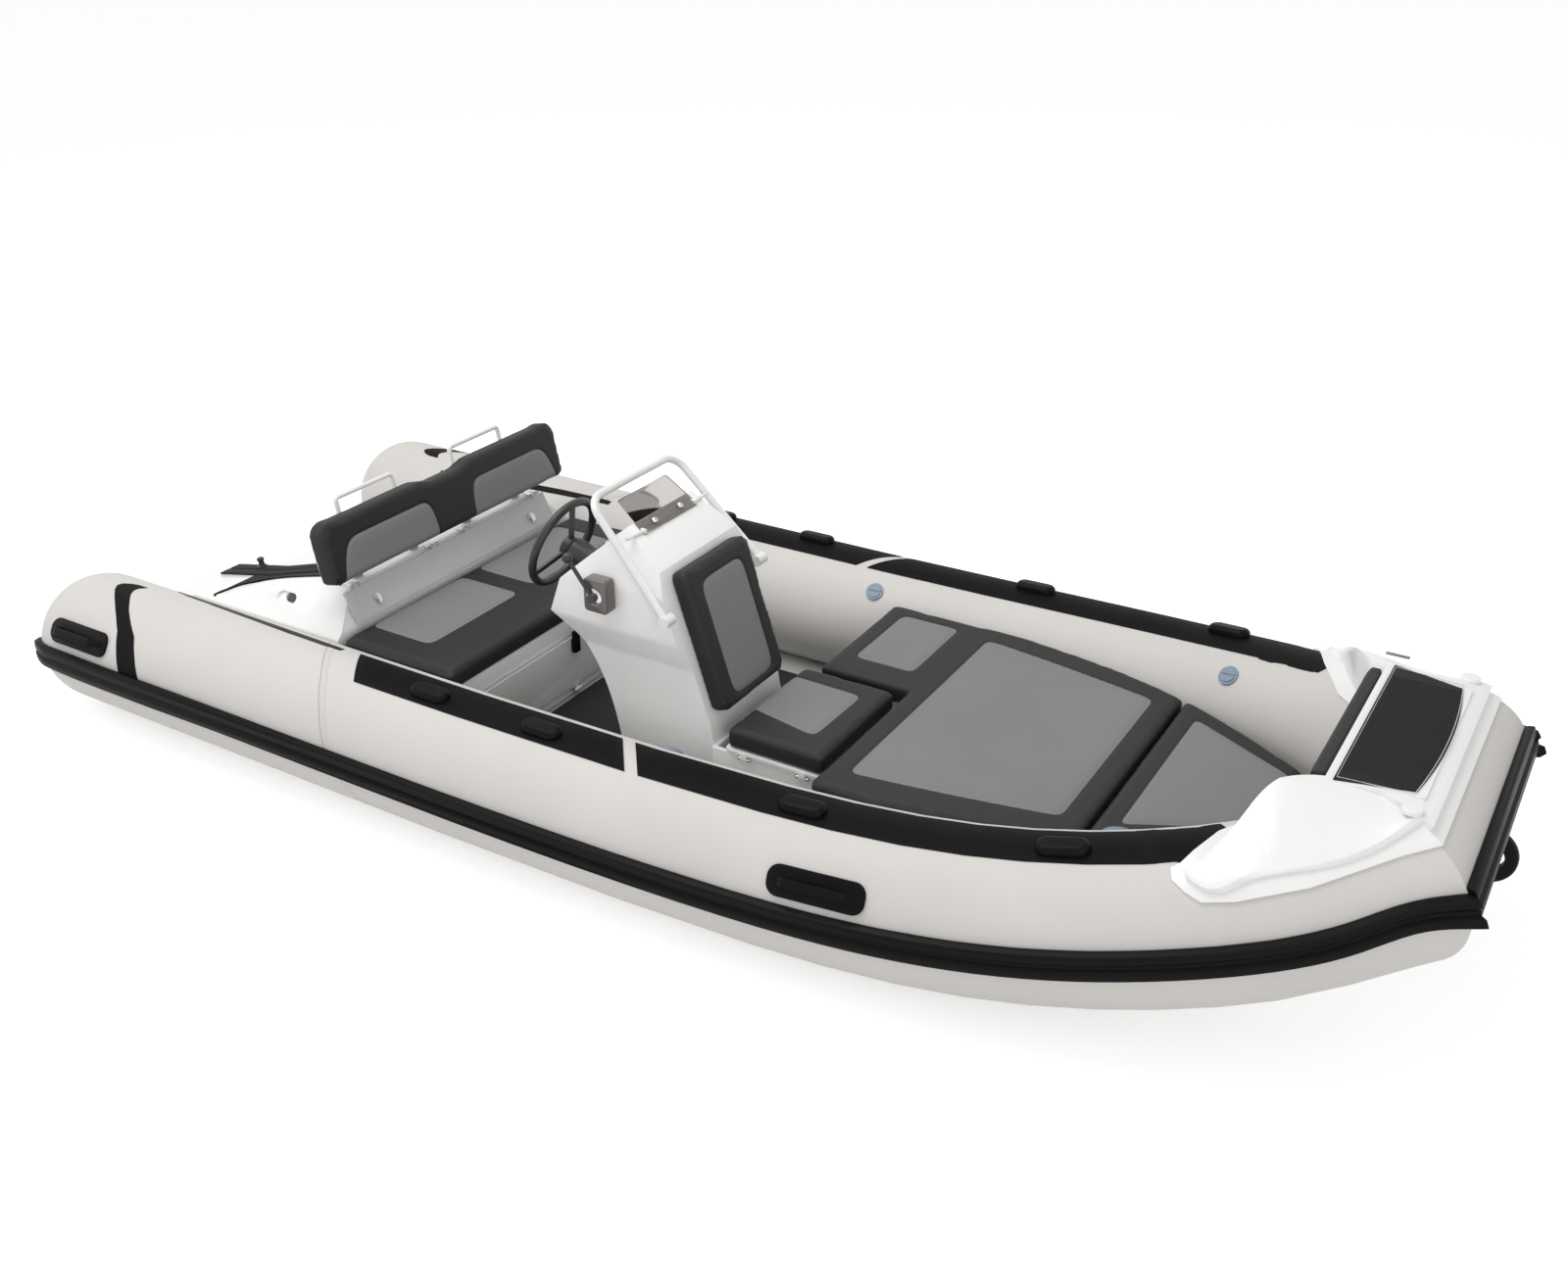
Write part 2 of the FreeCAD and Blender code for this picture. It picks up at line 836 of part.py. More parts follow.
def make_transom():
    """The raked engine board with its lowered middle and bolt holes."""
    inner = transom_side_half_width
    half = [
        (0.0, -keel_depth),
        (chine_half_beam * transom_fit_share, chine_aft_z),
        (chine_half_beam * transom_fit_share, deck_top_z),
        (inner, deck_top_z + chine_flat),
        (inner, transom_shoulder_height),
        (transom_shoulder_half_width, transom_shoulder_height),
        (transom_cut_half_width, transom_cut_height),
    ]
    ring = [transom_point(y, h, 0) for y, h in half]
    ring += [transom_point(-y, h, 0) for y, h in reversed(half[1:])]
    wire = Part.makePolygon(ring + [ring[0]])
    body = Part.Face(wire).extrude(transom_normal * -transom_thickness)
    for cutter in tube_cutters:
        body = body.cut(cutter)
    for y, height in engine_bolt_places():
        start = transom_point(y, height, transom_thickness + cut_overrun)
        length = transom_thickness + 2 * cut_overrun
        body = body.cut(Part.makeCylinder(engine_bolt_r, length, start, transom_normal))
    return body


add("hull", make_hull())
add("transom", make_transom())


# Cockpit deck and its mat
def make_deck():
    """The cockpit sole between the tubes."""
    edge = tube_side_y - tube_r / 2
    body = box(deck_aft_x, fore_deck_x, -edge, edge, deck_top_z - deck_thickness, deck_top_z)
    body = body.common(hull_body)
    body = body.cut(box(deck_aft_x - cut_overrun, well_front_x + cut_overrun / 2, -well_half_width,
                        well_half_width, 0, deck_top_z + cut_overrun))
    for cutter in tube_cutters:
        body = body.cut(cutter)
    return body


add("deck", make_deck())

mat_back_x = bench_front_x + mat_margin
mat_top_z = deck_top_z + mat_thickness
console_port_y = console_y + console_half_width
console_starboard_y = console_y - console_half_width
mat_outline = [
    (mat_back_x, -bench_half_width + mat_margin),
    (console_foot_x - mat_margin, -bench_half_width + mat_margin),
    (console_foot_x - mat_margin, console_port_y + mat_margin),
    (sundeck_wing_x - mat_margin / 2, console_port_y + mat_margin),
    (sundeck_wing_x - mat_margin / 2, bench_half_width - mat_margin),
    (mat_back_x, bench_half_width - mat_margin),
]
add("floor_mat", plan_plate(mat_outline, deck_top_z, mat_top_z, mat_margin / 2))


# Hinges: a fixed pin between two ears, and a moving knuckle with its leaf
def hinge_pieces(place, leaf_length):
    """Fixed and moving halves. The pin lies along the place's X axis. A leaf of any
    length runs along its +Y axis, on the surface one knuckle radius below."""
    half = hinge_knuckle_length / 2
    bore = hinge_pin_r + hinge_running_gap
    axis = V(1, 0, 0)
    moving = Part.makeCylinder(hinge_knuckle_r, hinge_knuckle_length, V(-half, 0, 0), axis)
    if leaf_length:
        moving = moving.fuse(box(-half, half, 0, leaf_length, -hinge_knuckle_r,
                                 hinge_leaf_thickness - hinge_knuckle_r))
    moving = moving.cut(Part.makeCylinder(bore, 2 * half, V(-half, 0, 0), axis))
    ear_start = half + hinge_side_gap
    ear_end = ear_start + hinge_ear_length
    fixed = Part.makeCylinder(hinge_pin_r, 2 * ear_end, V(-ear_end, 0, 0), axis)
    for near in (ear_start, -ear_end):
        fixed = fixed.fuse(Part.makeCylinder(hinge_knuckle_r, hinge_ear_length, V(near, 0, 0), axis))
    return placed(fixed, place), placed(moving, place)


def ear_spans(middle):
    """Where the two ears of a hinge lie along its axis."""
    start = hinge_knuckle_length / 2 + hinge_side_gap
    end = start + hinge_ear_length
    return [(middle + start, middle + end), (middle - end, middle - start)]


def place_along(origin, along, upward):
    """A placement with X along one direction and Z close to another."""
    x_axis = V(along).normalize()
    y_axis = V(upward).cross(x_axis).normalize()
    z_axis = x_axis.cross(y_axis)
    matrix = FreeCAD.Matrix(
        x_axis.x, y_axis.x, z_axis.x, origin.x,
        x_axis.y, y_axis.y, z_axis.y, origin.y,
        x_axis.z, y_axis.z, z_axis.z, origin.z,
        0, 0, 0, 1)
    return FreeCAD.Placement(matrix)


# Bench: a hollow box with a drop-down front door and a cushion
bench_top_z = cushion_top_z - cushion_thickness - cushion_gap
door_top_z = bench_top_z - bench_band_depth
door_half_width = bench_half_width - door_side_margin


def make_bench():
    """The bench's moulded box, open at the front behind the door."""
    body = box(bench_aft_x, bench_front_x, -bench_half_width, bench_half_width, deck_top_z, bench_top_z)
    inner = bench_half_width - bench_wall
    body = body.cut(box(bench_aft_x + bench_wall, bench_front_x - bench_wall, -inner, inner,
                        deck_top_z - cut_overrun, bench_top_z - bench_wall))
    opening = door_half_width - moving_gap
    body = body.cut(box(bench_front_x - cut_overrun, bench_front_x + cut_overrun, -opening, opening,
                        door_bottom_z + bench_wall, door_top_z - bench_wall))
    return body


add("bench_base", make_bench())

door_back_x = bench_front_x + moving_gap
door_face_x = door_back_x + door_thickness
door_axis_x = door_face_x + hinge_knuckle_r
door_axis_z = door_bottom_z - hinge_knuckle_r - hinge_leaf_thickness
door_hinge_y = door_half_width * door_hinge_share
door = box(door_back_x, door_face_x, -door_half_width, door_half_width, door_bottom_z, door_top_z)
door = rounded_edges(door, door_thickness, lambda e: abs(e.tangentAt(e.FirstParameter).x) > 0.9)
hinge_brackets = []
for y in (door_hinge_y, 0.0, -door_hinge_y):
    spot = place_along(V(door_axis_x, y, door_axis_z), V(0, 1, 0), V(1, 0, 0))
    fixed, moving = hinge_pieces(spot, hinge_leaf_length + hinge_knuckle_r)
    for y0, y1 in ear_spans(y):
        fixed = fixed.fuse(box(bench_front_x, door_axis_x, y0, y1,
                               door_axis_z - hinge_knuckle_r, door_axis_z + hinge_knuckle_r))
    hinge_brackets.append(fixed)
    door = door.fuse(moving)

add("bench_door", door)

# Latch strap on the door, reaching over the band above it
latch = side_plate([
    (door_face_x, door_top_z - latch_length),
    (door_face_x, door_top_z - latch_length / 3),
    (door_face_x + moving_gap, door_top_z),
    (door_face_x + moving_gap, door_top_z + latch_length / 2),
    (door_face_x + latch_depth, door_top_z + latch_length / 2),
    (door_face_x + latch_depth, door_top_z - latch_length),
], -latch_width / 2, latch_width / 2)
add("bench_latch", rounded_edges(latch, latch_depth / 4,
                                 lambda e: abs(e.tangentAt(e.FirstParameter).z) > 0.99
                                 and e.CenterOfMass.x > door_face_x + latch_depth * 0.9))


# Cushions keep clear of the tubes
def clear_of_tubes(body):
    """Cuts a solid back from the tubes."""
    for cutter in wide_cutters:
        body = body.cut(cutter)
    return body


def top_edge(height):
    """Picks the straight and curved edges that lie in the plane at a height."""
    def test(edge):
        return all(abs(vertex.Z - height) < bond_gap for vertex in edge.Vertexes)
    return test


bench_cushion = plan_plate(
    both_sides([(bench_cushion_front_x, bench_cushion_half_width),
                (bench_cushion_aft_x, bench_cushion_half_width)]),
    cushion_top_z - cushion_thickness, cushion_top_z, cushion_edge_r)
add("bench_cushion", clear_of_tubes(bench_cushion))


# Moulding behind the bench, with a locker behind a sloping hatch
def aft_outline(offset):
    """The moulding seen from the side, drawn in by an offset."""
    return [
        (aft_mould_front_x - offset, deck_top_z),
        (aft_mould_front_x - offset, aft_slope_foot_z),
        (aft_slope_top_x - offset, aft_slope_top_z - offset),
        (aft_ledge_x, aft_slope_top_z - offset),
        (aft_mould_mid_x, aft_mould_mid_z - offset),
        (aft_mould_end_x + offset, aft_mould_end_z - offset),
        (aft_mould_end_x + offset, deck_top_z),
    ]


def aft_front_view(offset):
    """The moulding seen from the front, drawn in by an offset."""
    half = [
        (aft_foot_half_width - offset, deck_top_z),
        (aft_foot_half_width - offset, aft_rim_z - 2 * aft_mould_wall),
        (aft_rim_half_width - offset, aft_rim_z - offset / 2),
        (aft_top_half_width - offset / 2, aft_slope_top_z - offset),
    ]
    return half + [(-y, z) for y, z in reversed(half)]


def make_aft_moulding():
    """The hollow moulding between the bench and the engine well."""
    outer = side_plate(aft_outline(0.0), -tube_side_y, tube_side_y,
                       [0, 0, aft_mould_wall, 0, 0, aft_mould_wall, 0])
    cross = front_plate(aft_front_view(0.0), aft_mould_end_x - cut_overrun,
                        aft_mould_front_x + cut_overrun, [0, 0, aft_mould_wall, 3 * aft_mould_wall,
                                                          3 * aft_mould_wall, aft_mould_wall, 0, 0])
    body = outer.common(cross)
    inner = side_plate(aft_outline(aft_mould_wall), -tube_side_y, tube_side_y)
    inner_cross = front_plate(aft_front_view(aft_mould_wall), aft_locker_end_x,
                              aft_mould_front_x + cut_overrun)
    locker = inner.common(inner_cross)
    locker = locker.common(box(aft_locker_end_x, aft_mould_front_x, -tube_side_y, tube_side_y,
                               deck_top_z + aft_mould_wall, aft_slope_top_z))
    body = body.cut(locker)
    body = body.cut(hatch_slab(hatch_half_width - 2 * hatch_edge, 2 * hatch_edge, 2 * hatch_edge,
                               -cut_overrun, cut_overrun))
    body = body.cut(box(aft_mould_end_x - cut_overrun, well_front_x + aft_mould_wall, -well_half_width,
                        well_half_width, 0, aft_slope_top_z))
    for cutter in tube_cutters:
        body = body.cut(cutter)
    return body


slope_along = V(aft_slope_top_x - aft_mould_front_x, 0, aft_slope_top_z - aft_slope_foot_z)
slope_length = slope_along.Length
slope_along.normalize()
slope_normal = V(slope_along.z, 0, -slope_along.x)


def hatch_slab(half_width, low_edge, high_edge, depth0, depth1):
    """A slab on the moulding's slope, between two depths along its outward normal."""
    foot = V(aft_mould_front_x, -half_width, aft_slope_foot_z)
    corners = [
        foot + slope_along * low_edge,
        foot + slope_along * (slope_length - high_edge),
        foot + slope_along * (slope_length - high_edge) + V(0, 2 * half_width, 0),
        foot + slope_along * low_edge + V(0, 2 * half_width, 0),
    ]
    wire = Part.makePolygon(corners + [corners[0]])
    slab = Part.Face(wire).extrude(slope_normal * (depth1 - depth0))
    slab.translate(slope_normal * depth0)
    return slab


def side_recess(side):
    """The oval recess in the moulding's sloping side, as a cutter."""
    rise = aft_slope_top_z - aft_rim_z
    run = aft_rim_half_width - aft_top_half_width
    normal = V(0, side * rise, run).normalize()
    middle = V(recess_x, side * (aft_top_half_width + aft_rim_half_width) / 2,
               (aft_slope_top_z + aft_rim_z) / 2)
    place = place_along(middle - normal * recess_depth, V(1, 0, 0), normal)
    half_l = recess_length / 2
    half_w = recess_width / 2
    oval = rounded_wire([V(-half_l, -half_w, 0), V(half_l, -half_w, 0),
                         V(half_l, half_w, 0), V(-half_l, half_w, 0)], half_w * oval_round_share)
    return placed(Part.Face(oval).extrude(V(0, 0, cut_overrun)), place)


aft_moulding = make_aft_moulding().cut(side_recess(1)).cut(side_recess(-1))
add("aft_moulding", aft_moulding)


def stern_slat(y0):
    """One dark slat lying on the moulding's top, bent with it."""
    outline = [(x, z) for x, z in aft_outline(0.0)[3:6]]
    front_z = outline[0][1] + (outline[1][1] - outline[0][1]) * (
        (stern_mat_front_x - outline[0][0]) / (outline[1][0] - outline[0][0]))
    aft_z = outline[1][1] + (outline[2][1] - outline[1][1]) * (
        (stern_mat_aft_x - outline[1][0]) / (outline[2][0] - outline[1][0]))
    low = [(stern_mat_front_x, front_z), outline[1], (stern_mat_aft_x, aft_z)]
    high = [(x, z + stern_mat_thickness) for x, z in reversed(low)]
    return side_plate(low + high, y0, y0 + stern_slat_width)


slats = []
slat_pitch = stern_slat_width + stern_slat_gap
for i in range(int((stern_mat_outer_y - stern_mat_inner_y) / slat_pitch)):
    slat = stern_slat(stern_mat_inner_y + i * slat_pitch)
    slats.append(slat)
    slats.append(mirrored(slat))
add("stern_mats", *slats)

# Sloping hatch with its two latches
hatch = hatch_slab(hatch_half_width, hatch_edge / 2, hatch_edge, moving_gap,
                   moving_gap + hatch_thickness)
hatch_face_depth = moving_gap + hatch_thickness
hatch_foot = V(aft_mould_front_x, 0, aft_slope_foot_z)
hatch_axis = hatch_foot + slope_normal * (hatch_face_depth + hinge_knuckle_r)
hatch_axis = hatch_axis + slope_along * ((aft_slope_top_z + hinge_knuckle_r - hatch_axis.z) / slope_along.z)
for y in hatch_hinge_places + [-y for y in hatch_hinge_places]:
    spot = place_along(hatch_axis + V(0, y, 0), V(0, -1, 0), slope_normal)
    fixed, moving = hinge_pieces(spot, hinge_leaf_length)
    for y0, y1 in ear_spans(y):
        fixed = fixed.fuse(box(aft_slope_top_x - hinge_leaf_length, hatch_axis.x, y0, y1,
                               aft_slope_top_z, aft_slope_top_z + hinge_leaf_thickness))
    hinge_brackets.append(fixed)
    hatch = hatch.fuse(moving)
add("rear_hatch", hatch)


def hatch_latch(y):
    """A stainless pull latch on the hatch: round base and turned-up tongue."""
    spot = hatch_foot + slope_along * (slope_length * hatch_latch_up_share) + slope_normal * hatch_face_depth
    place = place_along(spot + V(0, y, 0), V(0, -1, 0), slope_normal)
    base = Part.makeCylinder(hatch_latch_r, hatch_latch_height / 2)
    knob = Part.makeCylinder(hatch_latch_r * latch_knob_share, hatch_latch_height)
    half = hatch_latch_r * latch_knob_share
    tongue = box(-half, half, 0, hatch_latch_r * latch_tongue_share,
                 hatch_latch_height * latch_lift_share, hatch_latch_height)
    return placed(base.fuse(knob).fuse(tongue), place)


add("hatch_latches", hatch_latch(hatch_latch_y), hatch_latch(-hatch_latch_y))


# Backrest: a board on four arms, a cushion and two grab rails
lean_x, lean_z = polar(90 + backrest_lean_deg, 1)
backrest_up = V(lean_x, 0, lean_z)
backrest_back = V(-lean_z, 0, lean_x)


def backrest_slab(half_width, z0, z1, depth0, depth1, radius, notch):
    """A slab parallel to the leaning backrest, with a notch in its top edge."""
    foot = V(backrest_front_x, 0, backrest_bottom_z)
    low = (z0 - backrest_bottom_z) / lean_z
    high = (z1 - backrest_bottom_z) / lean_z
    half = [(half_width, low), (half_width, high)]
    if notch:
        half += [(backrest_notch_half_width * notch_mouth_share, high),
                 (backrest_notch_half_width * notch_floor_share, high - backrest_notch_depth)]
    outline = half + [(-y, h) for y, h in reversed(half)]
    points = [foot + V(0, y, 0) + backrest_up * h for y, h in outline]
    radii = [radius / 2, radius]
    if notch:
        radii += [radius / 2, radius / 2]
    wire = rounded_wire(points, radii + radii[::-1])
    slab = Part.Face(wire).extrude(backrest_back * (depth1 - depth0))
    slab.translate(backrest_back * depth0)
    return slab


backrest = backrest_slab(backrest_half_width, backrest_bottom_z, backrest_top_z,
                         0, backrest_thickness, backrest_corner_r, True)
board_depth = backrest_thickness + cushion_gap
board = backrest_slab(backrest_half_width - backrest_board_inset,
                      backrest_bottom_z + backrest_board_inset / 2,
                      backrest_top_z - backrest_board_inset, board_depth,
                      board_depth + backrest_board_thickness, backrest_corner_r, True)
add("backrest_cushion", backrest)
add("backrest_board", board)


def backrest_arm(y):
    """A bracket from the moulding's ledge up the back of the board."""
    depth = board_depth + backrest_board_thickness
    foot = V(backrest_front_x, 0, backrest_bottom_z)
    low = foot + backrest_back * depth + backrest_up * (2 * backrest_board_inset)
    high = foot + backrest_back * depth + backrest_up * (4 * backrest_board_inset)
    out = backrest_back * backrest_arm_thickness
    drop = aft_slope_top_z
    points = [
        (low.x, drop),
        ((low + out).x - backrest_arm_width / 2, drop),
        ((high + out).x, (high + out).z),
        (high.x, high.z),
        (low.x, low.z),
    ]
    return side_plate(points, y - backrest_arm_width / 2, y + backrest_arm_width / 2)


arms = []
for place in backrest_arm_places:
    arms.append(backrest_arm(place))
    arms.append(backrest_arm(-place))
add("backrest_arms", *arms)


def grab_rail(centre_y):
    """One stainless U-shaped rail behind the top of the backrest."""
    depth = board_depth + backrest_board_thickness
    foot = V(backrest_front_x, 0, backrest_bottom_z) + backrest_back * depth
    high = (backrest_top_z - backrest_bottom_z) / lean_z
    root = foot + backrest_up * (high - 3 * backrest_board_inset)
    out = backrest_back * grab_rail_standoff
    rise = backrest_up * (3 * backrest_board_inset + grab_rail_height / 2)
    half = V(0, grab_rail_spacing / 2, 0)
    middle = V(0, centre_y, 0)
    points = [
        root + middle - half,
        root + middle - half + out,
        root + middle - half + out + rise,
        root + middle + half + out + rise,
        root + middle + half + out,
        root + middle + half,
    ]
    return pipe(points, grab_rail_r, grab_rail_tight_bend_r)


add("backrest_rails", grab_rail(grab_rail_centre_y), grab_rail(-grab_rail_centre_y))


# Console
def console_outline():
    """The console seen from the side."""
    return [
        (console_foot_x, deck_top_z),
        (console_seat_x + console_base_wall, deck_top_z),
        (console_seat_x + console_base_wall, console_base_top_z),
        (console_seat_x, console_seat_z),
        (console_brow_x, console_brow_z),
        (console_crest_x, console_crest_z),
        (console_lip_x, console_lip_z),
        (console_chin_x, console_chin_z),
    ]


def console_profile_wire(y):
    """The side outline with the flared aft edge as one smooth curve."""
    outline = [V(x, y, z) for x, z in console_outline()]
    edges = []
    for i in range(len(outline) - 1):
        edges.append(Part.LineSegment(outline[i], outline[i + 1]).toShape())
    reach_x = console_foot_x - console_chin_x
    reach_z = console_chin_z - deck_top_z
    flare = [outline[-1]]
    for along, down in console_flare_shares:
        flare.append(V(console_chin_x + reach_x * along, y, console_chin_z - reach_z * down))
    flare.append(outline[0])
    curve = Part.BSplineCurve()
    curve.interpolate(flare)
    edges.append(curve.toShape())
    return Part.Wire(edges)


def make_console():
    """The moulded console: a wide pod on a narrower pedestal."""
    reach = console_half_width + cut_overrun
    wire = console_profile_wire(console_y - reach)
    body = Part.Face(wire).extrude(V(0, 2 * reach, 0))
    half = [
        (pedestal_half_width, deck_top_z - cut_overrun),
        (pedestal_half_width, console_neck_z),
        (console_half_width, console_pod_z),
        (console_half_width, console_shoulder_z),
        (console_top_half_width, console_crest_z),
    ]
    outline = [(console_y + y, z) for y, z in half]
    outline += [(console_y - y, z) for y, z in reversed(half)]
    soft = console_top_half_width / 3
    radii = [0, soft, soft, soft, 0]
    front = front_plate(outline, console_chin_x - cut_overrun, console_base_front_x, radii + radii[::-1])
    body = body.common(front)
    return body


console = make_console()
add("console_shell", console)

# Console seat base: a hollow box forward of the pedestal
base_aft_x = console_seat_x + console_base_wall
base_starboard = console_y - console_base_half_width
base_port = console_y + console_base_half_width


def make_seat_base():
    """The open-topped box under the console seat."""
    body = box(base_aft_x, console_base_front_x, base_starboard, base_port, deck_top_z, console_base_top_z)
    wall = console_base_wall
    return body.cut(box(base_aft_x + wall, console_base_front_x - wall, base_starboard + wall,
                        base_port - wall, deck_top_z + wall, console_base_top_z + cut_overrun))


add("console_seat_base", make_seat_base())

seat_lid_bottom_z = console_base_top_z + moving_gap
seat_lid_top_z = seat_lid_bottom_z + seat_lid_thickness
seat_lid = plan_plate([(seat_aft_x, seat_starboard_y), (seat_front_x, seat_starboard_y),
                       (seat_front_x, seat_port_y), (seat_aft_x, seat_port_y)],
                      seat_lid_bottom_z, seat_lid_top_z, cushion_edge_r)
seat_cushion = plan_plate([(seat_aft_x, seat_starboard_y), (seat_front_x, seat_starboard_y),
                           (seat_front_x, seat_port_y), (seat_aft_x, seat_port_y)],
                          seat_lid_top_z + cushion_gap, cushion_top_z, cushion_edge_r)
seat_axis_y = base_starboard - hinge_knuckle_r
seat_axis_z = console_base_top_z - hinge_knuckle_r
for share in seat_hinge_shares:
    x = seat_aft_x + (seat_front_x - seat_aft_x) * share
    spot = place_along(V(x, seat_axis_y, seat_axis_z), V(1, 0, 0), V(0, -1, 0))
    fixed, moving = hinge_pieces(spot, 0)
    for x0, x1 in ear_spans(x):
        fixed = fixed.fuse(box(x0, x1, seat_axis_y, base_starboard, seat_axis_z - hinge_knuckle_r,
                               seat_axis_z + hinge_knuckle_r))
    hinge_brackets.append(fixed)
    half = hinge_knuckle_length / 2
    outer = seat_starboard_y - hinge_leaf_thickness
    strap = box(x - half, x + half, outer, seat_starboard_y, seat_axis_z, seat_lid_top_z)
    strap = strap.cut(Part.makeCylinder(hinge_pin_r + hinge_running_gap, 2 * half,
                                        V(x - half, seat_axis_y, seat_axis_z), V(1, 0, 0)))
    seat_lid = seat_lid.fuse(moving).fuse(strap)
add("console_seat_lid", seat_lid)
add("console_seat_cushion", seat_cushion)
add("hinge_brackets", *hinge_brackets)

# Seat-back cushion on the console's front face
face_along = V(console_brow_x - console_seat_x, 0, console_brow_z - console_seat_z)
face_length = face_along.Length
face_along.normalize()
face_normal = V(face_along.z, 0, -face_along.x)


def make_seatback():
    """The leaning cushion in front of the pedestal."""
    foot = V(console_seat_x, console_y, console_seat_z)
    low = foot + face_along * seatback_foot_clearance
    high = foot + face_along * (face_length - seatback_foot_clearance)
    half = V(0, seatback_half_width, 0)
    points = [low - half, high - half, high + half, low + half]
    slab = Part.Face(rounded_wire(points, 2 * cushion_edge_r)).extrude(face_normal * seatback_thickness)
    slab.translate(face_normal * cushion_gap)
    return slab


add("console_back_cushion", make_seatback())

# Windshield: a smoked sheet lying on the console's sloping brow
brow_along = V(console_crest_x - console_brow_x, 0, console_crest_z - console_brow_z)
brow_length = brow_along.Length
brow_along.normalize()
brow_normal = V(-brow_along.z, 0, brow_along.x) * -1


def brow_point(x, y, lift):
    """A point on the brow's plane, by its x and its height off the plane."""
    travel = (x - console_brow_x) / brow_along.x
    return V(console_brow_x, y, console_brow_z) + brow_along * travel + brow_normal * lift


def make_screen():
    """The windshield with rounded corners."""
    foot = brow_point(screen_foot_x, console_y, 0)
    top = foot + brow_along * screen_length
    points = [
        foot - V(0, screen_foot_half_width, 0),
        top - V(0, screen_top_half_width, 0),
        top + V(0, screen_top_half_width, 0),
        foot + V(0, screen_foot_half_width, 0),
    ]
    return Part.Face(rounded_wire(points, screen_corner_r)).extrude(brow_normal * screen_thickness)


add("windshield", make_screen())

# Console rail: an inverted U outside the pod
def make_console_rail():
    """The stainless rail with a round foot against each side of the pod."""
    leg_y = console_half_width + console_rail_gap + console_rail_r
    points = [
        V(console_rail_foot_x, console_y - leg_y, console_rail_foot_z),
        V(console_rail_top_x, console_y - console_rail_top_half_width, console_rail_top_z),
        V(console_rail_top_x, console_y + console_rail_top_half_width, console_rail_top_z),
        V(console_rail_foot_x, console_y + leg_y, console_rail_foot_z),
    ]
    rail = pipe(points, console_rail_r, console_rail_bend_r)
    for side in (1, -1):
        face = V(console_rail_foot_x, console_y + side * console_half_width, console_rail_foot_z)
        length = console_rail_gap + 2 * console_rail_r + console_rail_gap / 2
        foot = Part.makeCylinder(console_rail_foot_r, length, face, V(0, side, 0))
        rail = rail.fuse(foot)
    return rail.cut(console)


add("console_rail", make_console_rail())

# Helm and steering wheel
tilt_x, tilt_z = polar(180 - wheel_tilt_deg, 1)
wheel_axis = V(tilt_x, 0, tilt_z)
chin_middle = V((console_lip_x + console_chin_x) / 2, console_y, (console_lip_z + console_chin_z) / 2)
wheel_centre = chin_middle + wheel_axis * wheel_standoff


def make_helm():
    """The steering bearing on the console's aft face."""
    length = wheel_standoff - wheel_dish - helm_gap
    start = chin_middle - wheel_axis * cut_overrun
    barrel = Part.makeCylinder(helm_r, length + cut_overrun, start, wheel_axis)
    flange = Part.makeCylinder(helm_flange_r, helm_flange_length + cut_overrun, start, wheel_axis)
    return barrel.fuse(flange).cut(console)


add("helm", make_helm())


def make_wheel():
    """Rim, three dished spokes and hub, about the Z axis at the origin."""
    rim = Part.makeTorus(wheel_r - wheel_rim_r, wheel_rim_r)
    hub = Part.makeCylinder(wheel_hub_r, wheel_hub_length, V(0, 0, -wheel_dish))
    hub = rounded_edges(hub, wheel_hub_length / 5, lambda e: e.Closed)
    body = rim.fuse(hub)
    inner = wheel_hub_r * hub_grip_share
    outer = wheel_r - wheel_rim_r
    drop = -wheel_dish + wheel_hub_length / 2
    half = wheel_spoke_width / 2
    for turn in (90, 210, 330):
        low = V(inner, -half, drop)
        high = V(outer, -half, 0)
        up = V(0, 0, wheel_spoke_thickness / 2)
        points = [low - up, high - up, high + up, low + up]
        spoke = Part.Face(Part.makePolygon(points + [points[0]])).extrude(V(0, wheel_spoke_width, 0))
        spoke.rotate(V(0, 0, 0), V(0, 0, 1), turn)
        body = body.fuse(spoke)
    return body


wheel_place = place_along(wheel_centre, V(0, -1, 0), wheel_axis)
add("steering_wheel", placed(make_wheel(), wheel_place))


# Engine control box and lever
def make_control():
    """The side-mounted control box."""
    face_y = console_y - console_half_width
    body = box(control_x - control_length / 2, control_x + control_length / 2,
               face_y - control_depth, face_y, control_z - control_height / 2,
               control_z + control_height / 2)
    body = rounded_edges(body, control_length / 6, lambda e: abs(e.tangentAt(e.FirstParameter).y) > 0.9)
    return body.cut(console)


add("control_box", make_control())
lean = V(-math.sin(math.radians(control_lever_lean_deg)), 0, math.cos(math.radians(control_lever_lean_deg)))
lever_y = console_y - console_half_width - control_depth
lever_foot = V(control_x, lever_y - control_boss_length / 2, control_z)
lever = Part.makeCylinder(control_lever_r, control_lever_length, lever_foot, lean)
lever = lever.fuse(Part.makeCylinder(control_boss_r, control_boss_length,
                                     V(control_x, lever_y, control_z), V(0, -1, 0)))
lever = lever.fuse(Part.makeSphere(control_knob_r, lever_foot + lean * control_lever_length, lean))
add("control_lever", lever)


# Sundeck
def sundeck_side(inset):
    """The sundeck's side as (x, y) points from aft forward, on the port side."""
    run = sundeck_front_x - sundeck_aft_x
    width = sundeck_half_width
    return [(sundeck_aft_x + run * along, width * across - inset) for along, across in sundeck_side_shares]


